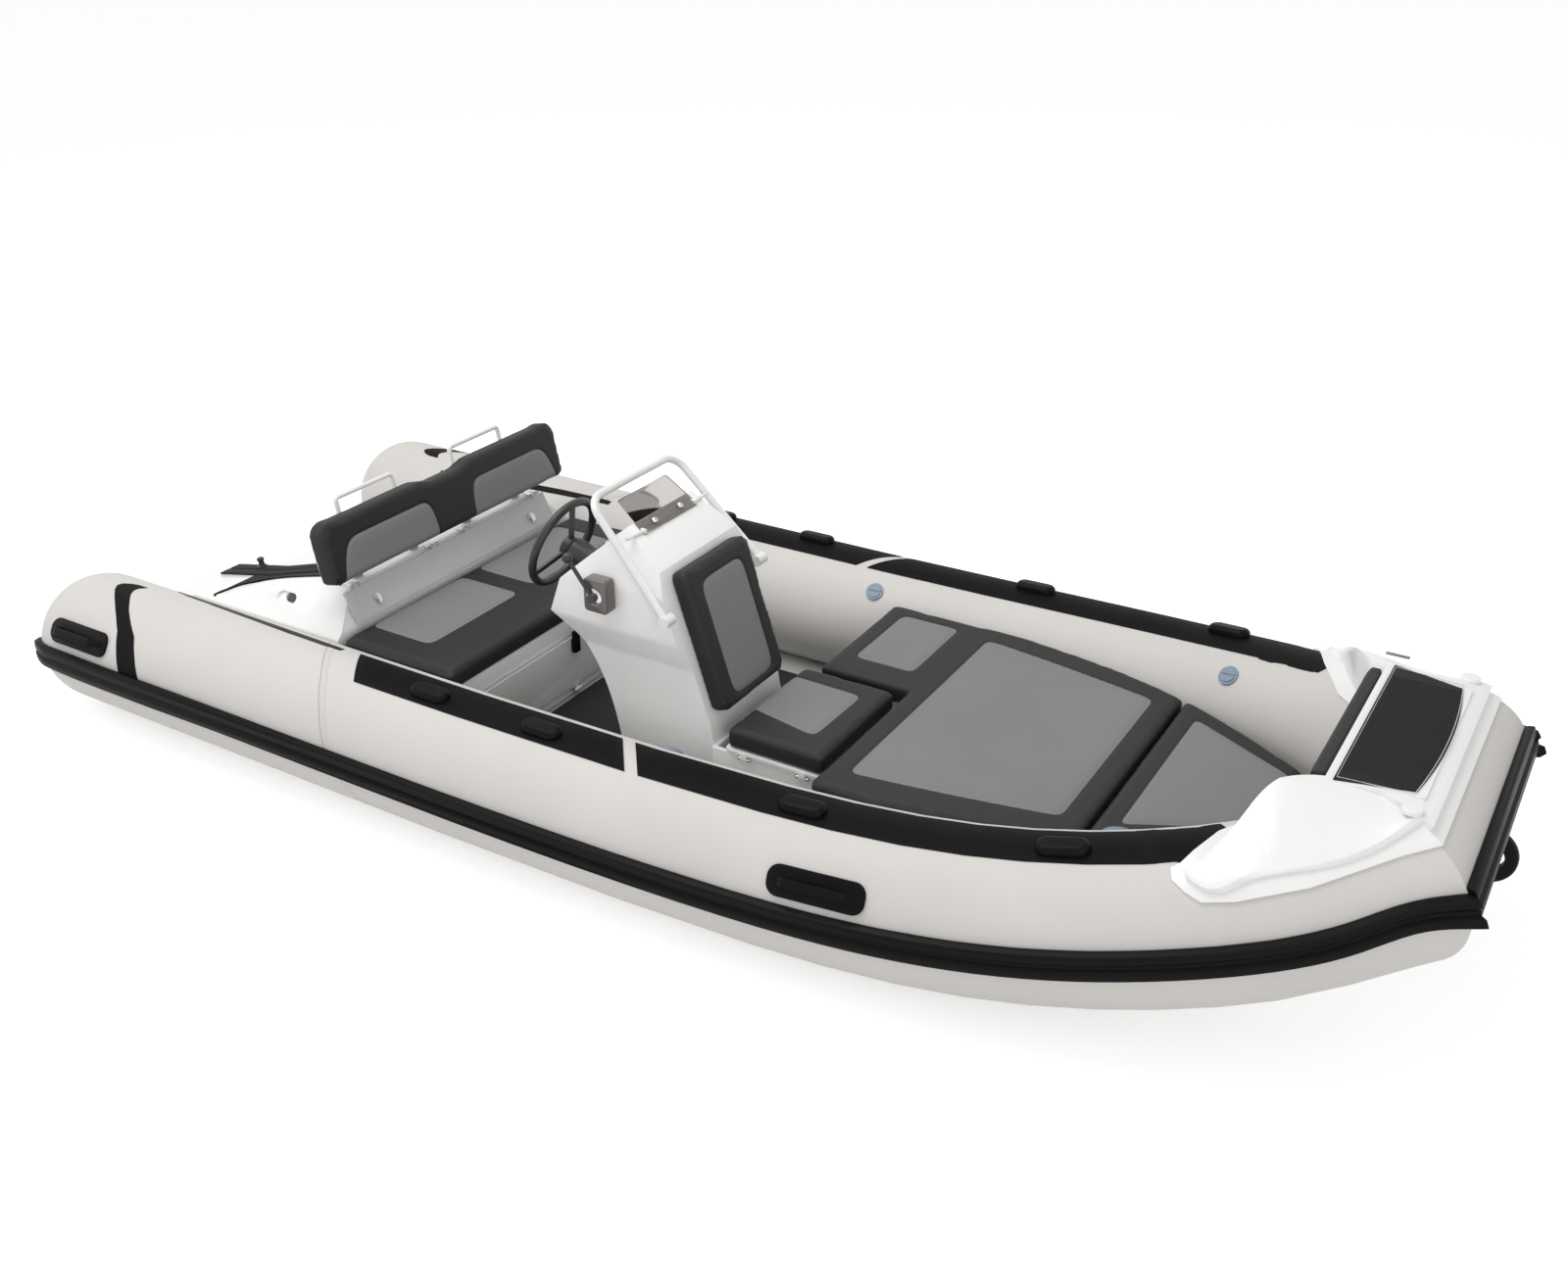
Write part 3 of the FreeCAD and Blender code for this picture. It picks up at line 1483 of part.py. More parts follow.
def sundeck_plan(inset, z0, z1):
    """The whole sundeck outline with its port wing and curved sides, made solid."""
    side = sundeck_side(inset)
    port_curve = Part.BSplineCurve()
    port_curve.interpolate([V(x, y, z0) for x, y in side])
    starboard_curve = Part.BSplineCurve()
    starboard_curve.interpolate([V(x, -y, z0) for x, y in side])
    wing_y = sundeck_wing_y + inset
    aft = sundeck_aft_x + inset
    points = [
        V(side[0][0], side[0][1], z0),
        V(sundeck_wing_x + inset, side[0][1], z0),
        V(sundeck_wing_x + inset, wing_y, z0),
        V(aft, wing_y, z0),
        V(aft, -side[0][1], z0),
        V(side[0][0], -side[0][1], z0),
    ]
    edges = [port_curve.toShape()]
    for i in range(len(points) - 1):
        if (points[i] - points[i + 1]).Length > bond_gap:
            edges.append(Part.LineSegment(points[i], points[i + 1]).toShape())
    edges.append(starboard_curve.toShape())
    front_x, front_y = side[-1]
    edges.append(Part.LineSegment(V(front_x, front_y, z0), V(front_x, -front_y, z0)).toShape())
    return Part.Face(Part.Wire(Part.__sortEdges__(edges))).extrude(V(0, 0, z1 - z0))


sundeck_base_top = cushion_top_z - cushion_thickness - cushion_gap
sundeck_base = sundeck_plan(sundeck_base_inset, deck_top_z, sundeck_base_top)
sundeck_base = sundeck_base.cut(box(fore_deck_x, bow_corner_x, -tube_side_y, tube_side_y,
                                    deck_top_z - cut_overrun, fore_deck_z))
add("sundeck_base", clear_of_tubes(sundeck_base))

sundeck_pad = clear_of_tubes(sundeck_plan(0.0, cushion_top_z - cushion_thickness, cushion_top_z))
aft_half = box(0, sundeck_split_x - cushion_gap, -tube_side_y, tube_side_y, 0, 2 * cushion_top_z)
fore_half = box(sundeck_split_x, bow_corner_x, -tube_side_y, tube_side_y, 0, 2 * cushion_top_z)
add("sundeck_cushion", sundeck_pad.common(aft_half))
add("bow_deck_cushion", sundeck_pad.common(fore_half))


# Bow step: a flange bonded over the bow, under a raised form with a flat platform
def wing_places(margin):
    """Where the wing's rows lie along the tube, its tip drawn in by a margin."""
    run = bow_corner_x - step_tip_x - margin
    past = bow_corner_x + corner_overrun * bow_tangent.x
    return [step_tip_x + margin + run * row[0] for row in step_wing_rows] + [past]


def flange_rows(grow):
    """The flange as (x, inner angle, outer angle) rows, grown by an angle."""
    rows = step_wing_rows + step_wing_rows[-1:]
    return [(x, row[1] + grow, row[2] - grow) for x, row in zip(wing_places(0.0), rows)]


def wing_form():
    """The raised form on the port wing, rising to its crest."""
    wires = []
    rows = step_wing_rows + step_wing_rows[-1:]
    for x, row in zip(wing_places(step_form_margin), rows):
        margin = step_form_margin_deg * row[3]
        inner_deg = row[1] - margin
        outer_deg = row[2] + margin
        high = tube_r + bond_gap + step_skin + step_rise
        ring = [
            tube_point(x, inner_deg, tube_r - bond_sink),
            tube_point(x, row[4], tube_r + step_crest_height * row[5]),
            tube_point(x, outer_deg + step_form_lean_deg * row[3], high),
            tube_point(x, outer_deg, high - step_rise / 2),
            tube_point(x, outer_deg, tube_r - bond_sink),
        ]
        wires.append(Part.makePolygon(ring + [ring[0]]))
    return Part.makeLoft(wires, True, False).cut(tube_cutters[0])


def step_front(thickness, margin_deg):
    """A strip of the step over the front tube between the mitres."""
    reach = corner_point.y + corner_overrun
    roll = front_angle_deg()
    inner_deg = step_wing_rows[-1][1] - margin_deg + roll
    outer_deg = step_wing_rows[-1][2] + margin_deg + roll
    corner = V(corner_point.x, -reach, corner_point.z)
    arcs = []
    ends = []
    for radius in (tube_r - bond_sink, tube_r + bond_gap + thickness):
        points = []
        for angle in (inner_deg, (inner_deg + outer_deg) / 2, outer_deg):
            out, up = polar(angle, radius)
            points.append(corner + V(out, 0, up))
        arcs.append(Part.Arc(points[0], points[1], points[2]).toShape())
        ends.append(points)
    inner_side = Part.LineSegment(ends[0][0], ends[1][0]).toShape()
    outer_side = Part.LineSegment(ends[0][2], ends[1][2]).toShape()
    wire = Part.Wire([arcs[0], outer_side, arcs[1], inner_side])
    body = Part.Face(wire).extrude(V(0, 2 * reach, 0)).cut(tube_cutters[2])
    return body.cut(beyond_mitre(1, False)).cut(beyond_mitre(-1, False))


def make_step():
    """The whole step: flange, raised wings, raised front and flat platform."""
    platform = plan_plate(both_sides([(step_front_x, corner_point.y),
                                      (step_inner_x, step_side_half_width)]),
                          step_top_z - step_skirt_height, step_top_z, step_edge_r)
    for cutter in tube_cutters:
        platform = platform.cut(cutter)
    flange = tube_strip(flange_rows(0.0), step_skin).cut(beyond_mitre(1, True))
    reach = tube_side_y + tube_r
    form = wing_form().cut(beyond_mitre(1, True)).common(box(0, bow_run, -reach, reach, 0, step_top_z))
    wing = flange.fuse(form)
    front = step_front(step_skin, 0.0).fuse(step_front(step_skin + step_rise, step_form_margin_deg))
    return wing.fuse(mirrored(wing)).fuse(front.fuse(platform))


step_top_z = corner_point.z + tube_r + bond_gap + step_skin + step_rise
step_front_x = corner_point.x + tube_r / 4
bow_step = make_step()
add("bow_step", bow_step)

half_front = step_pad_half_width_front
front_mid = step_pad_front_x + step_pad_bow
pad_edges = [
    Part.LineSegment(V(step_pad_front_x, -half_front, step_top_z),
                     V(step_pad_aft_x, -step_pad_half_width_aft, step_top_z)).toShape(),
    Part.LineSegment(V(step_pad_aft_x, -step_pad_half_width_aft, step_top_z),
                     V(step_pad_aft_x, step_pad_half_width_aft, step_top_z)).toShape(),
    Part.LineSegment(V(step_pad_aft_x, step_pad_half_width_aft, step_top_z),
                     V(step_pad_front_x, half_front, step_top_z)).toShape(),
    Part.Arc(V(step_pad_front_x, half_front, step_top_z), V(front_mid, 0, step_top_z),
             V(step_pad_front_x, -half_front, step_top_z)).toShape(),
]
step_pad = Part.Face(Part.Wire(pad_edges)).extrude(V(0, 0, step_pad_thickness))
add("bow_step_pad", step_pad)

cleats = []
for side in (1, -1):
    foot = V(cleat_x, side * cleat_y, step_top_z - cleat_height / 2)
    cleat = Part.makeCylinder(cleat_r, cleat_height, foot)
    cleat = rounded_edges(cleat, cleat_height / 3, top_edge(step_top_z + cleat_height / 2))
    cleats.append(cleat.cut(bow_step))
add("bow_cleats", *cleats)

bow_cushion = box(step_inner_x - bow_cushion_thickness - bond_gap, step_inner_x - bond_gap,
                  -bow_cushion_half_width, bow_cushion_half_width,
                  step_top_z - bow_cushion_height, step_top_z)
add("bow_cushion", clear_of_tubes(bow_cushion).cut(bow_step))


# Towing eye: a plate on the bow with a ring below the rail
def make_towing_eye():
    """A ring on a plate bonded to the front tube."""
    angle = -math.degrees(eye_drop / tube_r) + front_angle_deg()
    out, up = polar(angle, 1)
    normal = V(out, 0, up)
    spot = V(corner_point.x, 0, corner_point.z) + normal * (tube_r + bond_gap)
    place = place_along(spot, V(0, 1, 0), normal)
    plate = box(-eye_plate_width / 2, eye_plate_width / 2, -eye_plate_height / 2, eye_plate_height / 2,
                -2 * eye_plate_thickness, eye_plate_thickness)
    ring = Part.makeCylinder(eye_ring_r, 2 * eye_r, V(-eye_r, 0, -eye_sink), V(1, 0, 0))
    ring = rounded_edges(ring, eye_edge_r, lambda e: e.Closed)
    inside = Part.makeCylinder(eye_bore_r, 2 * eye_r, V(-eye_r, 0, -eye_sink), V(1, 0, 0))
    ring = ring.cut(inside)
    plate = plate.cut(inside)
    body = placed(plate.fuse(ring), place)
    return body.cut(tube_cutters[2]).cut(parts["rub_rail_bow"][0])


add("bow_towing_eye", make_towing_eye())


# Wear patches on the tube tops
def patch(x0, x1):
    """A thin rubber sheet over the tube's top, its two ends slanted."""
    rows = [(x, patch_inner_angle_deg, patch_outer_angle_deg) for x in tube_places()]
    band = tube_strip(rows, patch_thickness)
    inner_y = tube_side_y + polar(patch_inner_angle_deg, tube_r)[0]
    outer_y = tube_side_y + polar(patch_outer_angle_deg, tube_r)[0]
    slope = patch_slant / (outer_y - inner_y)
    near = -slope * (inner_y + outer_y) / 2
    far = slope * (2 * tube_side_y) + near
    outline = [(x0 + near, 0), (x0 + far, 2 * tube_side_y), (x1 + far, 2 * tube_side_y), (x1 + near, 0)]
    return band.common(plan_plate(outline, 0, 2 * tube_r + tube_side_y))


def fore_patch():
    """The forward sheet, ending along the bow step's wing."""
    low = tube_r - 2 * bond_sink
    high = tube_r + 2 * step_skin
    wires = [band_section(x, inner_deg, outer_deg, low, high)
             for x, inner_deg, outer_deg in flange_rows(patch_step_gap_deg)]
    wing = Part.makeLoft(wires, True, False)
    whole = patch(patch_fore_start_x, patch_fore_end_x)
    return whole.cut(wing)


patches = [patch(patch_aft_start_x, patch_aft_end_x), fore_patch()]
add("wear_patches", *(patches + [mirrored(p) for p in patches]))


# Grab handles, carry handles and valves on the tubes
def grab_handle(x):
    """A low oval rubber grip on the wear patch."""
    half_l = grab_length / 2
    half_w = grab_width / 2
    base = Part.Face(rounded_wire([V(-half_l, -half_w, 0), V(half_l, -half_w, 0),
                                   V(half_l, half_w, 0), V(-half_l, half_w, 0)], half_w * oval_round_share))
    body = base.extrude(V(0, 0, grab_height))
    body = rounded_edges(body, grab_height * grab_crown_share, top_edge(grab_height))
    spot = tube_place(x, grab_angle_deg, tube_r + bond_gap + patch_thickness)
    body = placed(body, spot)
    sunk = placed(box(-half_l, half_l, -half_w, half_w, -grab_height, grab_height * grab_sink_share), spot)
    oval = placed(base.extrude(V(0, 0, -grab_height)), spot)
    body = body.fuse(oval.common(sunk))
    return body.cut(patch_cutter)


patch_cutter = side_tube(tube_r + 2 * bond_gap + patch_thickness)
grabs = [grab_handle(x) for x in grab_places]
add("grab_handles", *(grabs + [mirrored(g) for g in grabs]))


def carry_handle(x):
    """A rubber plate on the tube with a raised bar to put a hand under."""
    half_l = carry_length / 2
    half_w = carry_width / 2
    corners = [V(-half_l, -half_w, 0), V(half_l, -half_w, 0), V(half_l, half_w, 0), V(-half_l, half_w, 0)]
    base = Part.Face(rounded_wire(corners, half_w * carry_round_share))
    plate = base.extrude(V(0, 0, 2 * carry_width))
    plate.translate(V(0, 0, -carry_width))
    spot = tube_place(x, carry_angle_deg, tube_r)
    outer = side_shell(x, tube_r + bond_gap + carry_plate_height)
    plate = placed(plate, spot).common(outer)
    span = carry_bar_span / 2
    bar_y = carry_bar_width / 2
    bar = side_plate([(-span - 2 * carry_bar_bend_r, 0), (-span, carry_bar_height),
                      (span, carry_bar_height), (span + 2 * carry_bar_bend_r, 0)], -bar_y, bar_y,
                     [0, carry_bar_bend_r, carry_bar_bend_r, 0])
    inner_height = carry_bar_height - carry_bar_thickness
    inner_foot = span + carry_bar_bend_r / 2
    inner_top = span - carry_bar_thickness
    hole = side_plate([(-inner_foot, -carry_bar_bend_r), (-inner_top, inner_height),
                       (inner_top, inner_height), (inner_foot, -carry_bar_bend_r)],
                      -carry_width, carry_width)
    bar = placed(bar.cut(hole), spot)
    return plate.fuse(bar).cut(tube_cutters[0])


def side_shell(x, radius):
    """A short length of the port tube at a larger radius."""
    wires = []
    for place in stations(x - carry_length, x + carry_length, 4):
        centre, forward, outboard, upward = tube_frame(place)
        wires.append(Part.Wire([Part.Circle(centre, forward, radius).toShape()]))
    return Part.makeLoft(wires, True, False)


carries = [carry_handle(x) for x in carry_places]
add("carry_handles", *(carries + [mirrored(c) for c in carries]))


def valve(x):
    """A round inflation valve with a slotted cap on the tube's inner side."""
    spot = tube_place(x, valve_angle_deg, tube_r + bond_gap)
    rim = Part.makeCylinder(valve_r, 2 * valve_rim_height, V(0, 0, -valve_rim_height))
    cap = Part.makeCylinder(valve_cap_r, valve_cap_height, V(0, 0, 0))
    slot = box(-valve_cap_r, valve_cap_r, -valve_slot_width / 2, valve_slot_width / 2,
               valve_cap_height - valve_slot_depth, valve_cap_height + valve_slot_depth)
    return placed(rim.fuse(cap).cut(slot), spot).cut(tube_cutters[0])


valves = [valve(x) for x in valve_places]
add("valves", *(valves + [mirrored(v) for v in valves]))

os.makedirs("parts", exist_ok=True)
for name, solids in parts.items():
    shape = solids[0] if len(solids) == 1 else Part.makeCompound(solids)
    shape.exportStep("parts/" + name + ".step")
    print(name, len(solids), round(sum(s.Volume for s in solids) / 1e6, 3), shape.isValid())
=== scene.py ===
"""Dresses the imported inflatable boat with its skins, cushions, trim, finishes, light and camera."""
import json
import logging
import math
from dataclasses import dataclass, replace
from enum import Enum
from typing import Callable

import bmesh
import bpy
from mathutils import Matrix, Vector
from mathutils.bvhtree import BVHTree


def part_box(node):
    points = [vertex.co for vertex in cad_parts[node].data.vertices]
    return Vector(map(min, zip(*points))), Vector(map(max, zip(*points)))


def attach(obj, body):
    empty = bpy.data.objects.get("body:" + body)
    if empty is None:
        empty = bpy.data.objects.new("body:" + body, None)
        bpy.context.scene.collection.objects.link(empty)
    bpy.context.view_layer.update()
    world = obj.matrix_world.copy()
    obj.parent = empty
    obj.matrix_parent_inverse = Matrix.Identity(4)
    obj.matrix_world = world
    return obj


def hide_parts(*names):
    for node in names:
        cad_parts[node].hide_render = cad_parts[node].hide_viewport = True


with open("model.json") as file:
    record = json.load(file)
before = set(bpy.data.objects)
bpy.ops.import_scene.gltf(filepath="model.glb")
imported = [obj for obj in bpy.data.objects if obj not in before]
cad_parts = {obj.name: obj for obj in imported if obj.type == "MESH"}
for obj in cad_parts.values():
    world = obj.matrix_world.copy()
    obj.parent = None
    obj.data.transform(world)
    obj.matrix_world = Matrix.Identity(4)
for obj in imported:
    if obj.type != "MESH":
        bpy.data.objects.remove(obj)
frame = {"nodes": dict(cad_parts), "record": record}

Piece = bpy.types.Object
Tree = bpy.types.NodeTree
Socket = bpy.types.NodeSocket
Triple = tuple[float, float, float]
Pair = tuple[float, float]

LOG = logging.getLogger("boat")
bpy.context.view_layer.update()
RECORD_BODIES = frame["record"]["behaviour"]["bodies"]

TUBE_Y = 0.835
TUBE_Z = 0.259
TUBE_R = 0.241
CONSOLE_Y = -0.25
LEAN = math.radians(12)
WELD = 0.00002
FLAT_ANGLE = math.radians(0.8)
PLUMB_TOP = 2.0
CROWN_STEPS = 80
RAY_RUN = 3.0
FRAMES = 20


class Side(Enum):
    """The two sides of the boat, by the sign of Y."""

    PORT = 1
    STARBOARD = -1


class Slot(str, Enum):
    """The record's material slots, which each finish names."""

    COLLAR = "collar_fabric"
    RUBBER = "black_rubber"
    WHITE = "white_moulding"
    HULL = "hull_paint"
    DECK = "deck_paint"
    MAT = "deck_mat"
    VINYL = "cushion_vinyl"
    STEEL = "stainless"
    SCREEN = "smoked_acrylic"
    PLASTIC = "black_plastic"
    VALVE = "valve_plastic"


# Shader groups shared by the finishes


def new_group(name: str, inputs: dict[str, float | tuple], outputs: tuple[str, ...]) -> Tree:
    """Makes an empty shader node group with named sockets.

    Args:
        name: The group's name.
        inputs: Socket names with their starting values; a tuple makes a vector socket.
        outputs: Names of the value outputs.

    Returns:
        The node tree, with its input and output nodes in place.
    """
    tree = bpy.data.node_groups.new(name, "ShaderNodeTree")
    for label, value in inputs.items():
        kind = "NodeSocketVector" if isinstance(value, tuple) else "NodeSocketFloat"
        socket = tree.interface.new_socket(name=label, in_out="INPUT", socket_type=kind)
        socket.default_value = value
    for label in outputs:
        tree.interface.new_socket(name=label, in_out="OUTPUT", socket_type="NodeSocketFloat")
    tree.nodes.new("NodeGroupInput").name = "In"
    tree.nodes.new("NodeGroupOutput").name = "Out"
    return tree


def math_node(tree: Tree, operation: str, *values) -> Socket:
    """Adds a Math node fed by sockets or numbers.

    Args:
        tree: The node tree to add to.
        operation: The Math node's operation.
        values: A socket or a number for each input.

    Returns:
        The node's output socket.
    """
    node = tree.nodes.new("ShaderNodeMath")
    node.operation = operation
    for index, value in enumerate(values):
        if isinstance(value, (int, float)):
            node.inputs[index].default_value = value
        else:
            tree.links.new(value, node.inputs[index])
    return node.outputs[0]


def grain_group() -> Tree:
    """Fine grain and a slow mottling, from one vector and two scales.

    Returns:
        The group.
    """
    tree = new_group("fine_grain", {"Vector": (0.0, 0.0, 0.0), "Scale": 400.0, "Patch Scale": 3.0},
                     ("Height", "Patch"))
    source = tree.nodes["In"].outputs
    for scale, detail, output in (("Scale", 3.0, "Height"), ("Patch Scale", 4.0, "Patch")):
        noise = tree.nodes.new("ShaderNodeTexNoise")
        noise.inputs["Detail"].default_value = detail
        tree.links.new(source["Vector"], noise.inputs["Vector"])
        tree.links.new(source[scale], noise.inputs["Scale"])
        tree.links.new(noise.outputs["Fac"], tree.nodes["Out"].inputs[output])
    return tree


def weave_group() -> Tree:
    """Crossed threads as a height, from one vector and a number of threads per metre.

    Returns:
        The group.
    """
    tree = new_group("crossed_threads", {"Vector": (0.0, 0.0, 0.0), "Threads": 900.0}, ("Height",))
    source = tree.nodes["In"].outputs
    parts = tree.nodes.new("ShaderNodeSeparateXYZ")
    tree.links.new(source["Vector"], parts.inputs[0])
    rate = math_node(tree, "MULTIPLY", source["Threads"], 2 * math.pi)
    slope = math_node(tree, "ADD", parts.outputs["Y"], parts.outputs["Z"])
    warp = math_node(tree, "SINE", math_node(tree, "MULTIPLY", parts.outputs["X"], rate))
    weft = math_node(tree, "SINE", math_node(tree, "MULTIPLY", slope, rate))
    tree.links.new(math_node(tree, "MULTIPLY", warp, weft), tree.nodes["Out"].inputs["Height"])
    return tree


def rib_group() -> Tree:
    """Parallel ribs across one direction, as a height.

    Returns:
        The group.
    """
    tree = new_group("ribs", {"Vector": (0.0, 0.0, 0.0), "Across": (0.0, 1.0, 0.0), "Pitch": 0.01},
                     ("Height",))
    source = tree.nodes["In"].outputs
    dot = tree.nodes.new("ShaderNodeVectorMath")
    dot.operation = "DOT_PRODUCT"
    tree.links.new(source["Vector"], dot.inputs[0])
    tree.links.new(source["Across"], dot.inputs[1])
    turns = math_node(tree, "DIVIDE", dot.outputs["Value"], source["Pitch"])
    wave = math_node(tree, "PINGPONG", turns, 0.5)
    height = math_node(tree, "SMOOTH_MIN", math_node(tree, "MULTIPLY", wave, 4.0), 1.0, 0.3)
    tree.links.new(height, tree.nodes["Out"].inputs["Height"])
    return tree


def wear_group() -> Tree:
    """Where edges are rubbed, from the surface's pointiness and a broken pattern.

    Returns:
        The group.
    """
    tree = new_group("edge_wear", {"Pointiness": 0.5, "Pattern": 0.5, "Reach": 0.03}, ("Mask",))
    source = tree.nodes["In"].outputs
    proud = math_node(tree, "SUBTRACT", source["Pointiness"], 0.5)
    share = math_node(tree, "DIVIDE", proud, source["Reach"])
    broken = math_node(tree, "MULTIPLY", share, source["Pattern"])
    clamp = tree.nodes.new("ShaderNodeClamp")
    tree.links.new(broken, clamp.inputs["Value"])
    tree.links.new(clamp.outputs[0], tree.nodes["Out"].inputs["Mask"])
    return tree


def dust_group() -> Tree:
    """Dust settled on faces that look up, from the normal's height and a pattern.

    Returns:
        The group.
    """
    tree = new_group("settled_dust", {"Upward": 0.0, "Pattern": 0.5}, ("Mask",))
    source = tree.nodes["In"].outputs
    flat = math_node(tree, "POWER", math_node(tree, "MAXIMUM", source["Upward"], 0.0), 3.0)
    tree.links.new(math_node(tree, "MULTIPLY", flat, source["Pattern"]), tree.nodes["Out"].inputs["Mask"])
    return tree


GROUPS: dict[str, Tree] = {}
GROUP_MAKERS: dict[str, Callable[[], Tree]] = {
    "grain": grain_group, "weave": weave_group, "ribs": rib_group, "wear": wear_group, "dust": dust_group,
}


def use_group(tree: Tree, kind: str, **values) -> bpy.types.Node:
    """Places a shared group in a material.

    Args:
        tree: The material's node tree.
        kind: The group's key in GROUP_MAKERS.
        values: Inputs by name, spaces written as underscores: sockets, numbers or tuples.

    Returns:
        The group node.
    """
    if kind not in GROUPS:
        GROUPS[kind] = GROUP_MAKERS[kind]()
    node = tree.nodes.new("ShaderNodeGroup")
    node.node_tree = GROUPS[kind]
    for label, value in values.items():
        socket = node.inputs[label.replace("_", " ")]
        if isinstance(value, (int, float, tuple)):
            socket.default_value = value
        else:
            tree.links.new(value, socket)
    return node


def mix_colours(tree: Tree, share, first, second) -> Socket:
    """Mixes two colours by a share.

    Args:
        tree: The material's node tree.
        share: The share of the second colour, a socket or a number.
        first: A colour socket or an RGB tuple.
        second: A colour socket or an RGB tuple.

    Returns:
        The mixed colour's socket.
    """
    node = tree.nodes.new("ShaderNodeMix")
    node.data_type = "RGBA"
    for socket, value in ((node.inputs[0], share), (node.inputs[6], first), (node.inputs[7], second)):
        if isinstance(value, tuple):
            socket.default_value = (*value, 1.0)
        elif isinstance(value, (int, float)):
            socket.default_value = value
        else:
            tree.links.new(value, socket)
    return node.outputs[2]


def spread(tree: Tree, value: Socket, low: float, high: float,
           reach: Pair = (0.0, 1.0)) -> Socket:
    """Maps a value onto a range with a Map Range node.

    Args:
        tree: The node tree.
        value: The value's socket.
        low: The result where the value is at the lower end of its reach.
        high: The result at the upper end.
        reach: The value's own lower and upper end.

    Returns:
        The result's socket.
    """
    node = tree.nodes.new("ShaderNodeMapRange")
    tree.links.new(value, node.inputs["Value"])
    for label, end in zip(("From Min", "From Max", "To Min", "To Max"), (*reach, low, high)):
        node.inputs[label].default_value = end
    return node.outputs["Result"]


def plainly_seen(tree: Tree) -> Socket:
    """A mask that is 1 where the camera, a reflection or a clear pane sees the surface.

    Args:
        tree: The node tree.

    Returns:
        The mask's socket.
    """
    path = tree.nodes.new("ShaderNodeLightPath")
    seen = math_node(tree, "MAXIMUM", path.outputs["Is Camera Ray"], path.outputs["Is Glossy Ray"])
    return math_node(tree, "MAXIMUM", seen, path.outputs["Is Transmission Ray"])


def fresh_material(name: str) -> tuple[bpy.types.Material, Tree, bpy.types.Node]:
    """Makes a material.

    Args:
        name: The material's name.

    Returns:
        The material, its node tree and its shader.
    """
    material = bpy.data.materials.new(name)
    material.use_nodes = True
    return material, material.node_tree, material.node_tree.nodes["Principled BSDF"]


def linear(red: int, green: int, blue: int) -> Triple:
    """A colour as seen on a screen, turned to the shader's linear values."""
    return tuple((value / 255 / 12.92) if value <= 10 else ((value / 255 + 0.055) / 1.055) ** 2.4
                 for value in (red, green, blue))


DUST = linear(196, 190, 180)


@dataclass(frozen=True)
class Panel:
    """A light panel in a cushion's face, a convex outline with soft corners."""

    corners: tuple[Pair, ...]
    softness: float = 0.06

    def edges(self) -> list[Triple]:
        """The outline's sides.

        Returns:
            The outward normal's two parts and the offset of each side.
        """
        rows = []
        count = len(self.corners)
        middle = [sum(corner[i] for corner in self.corners) / count for i in (0, 1)]
        for index, (u0, v0) in enumerate(self.corners):
            u1, v1 = self.corners[(index + 1) % count]
            length = math.hypot(u1 - u0, v1 - v0)
            across, along = (v1 - v0) / length, (u0 - u1) / length
            if across * (middle[0] - u0) + along * (middle[1] - v0) > 0:
                across, along = -across, -along
            rows.append((across, along, across * u0 + along * v0))
        return rows

    def distance(self, u: float, v: float) -> float:
        """How far a point lies outside the outline.

        Args:
            u: The point's place across the face.
            v: Its place along the face.

        Returns:
            The distance in metres, negative inside.
        """
        total = None
        for across, along, offset in self.edges():
            away = across * u + along * v - offset
            if total is None:
                total = away
            else:
                near = max(self.softness - abs(total - away), 0.0) / self.softness
                total = max(total, away) + near ** 3 * self.softness / 6
        return total


@dataclass(frozen=True)
class Plane:
    """A flat frame on a cushion's face: an origin and two directions in the face."""

    origin: Triple
    across: Triple
    along: Triple

    def normal(self) -> Vector:
        """The direction that the face looks in."""
        return Vector(self.across).cross(Vector(self.along)).normalized()

    def flat(self, point: Vector) -> Pair:
        """A point's two coordinates in the face."""
        reach = point - Vector(self.origin)
        return reach.dot(Vector(self.across)), reach.dot(Vector(self.along))

    def lift(self, point: Vector) -> float:
        """A point's height over the face's origin."""
        return (point - Vector(self.origin)).dot(self.normal())


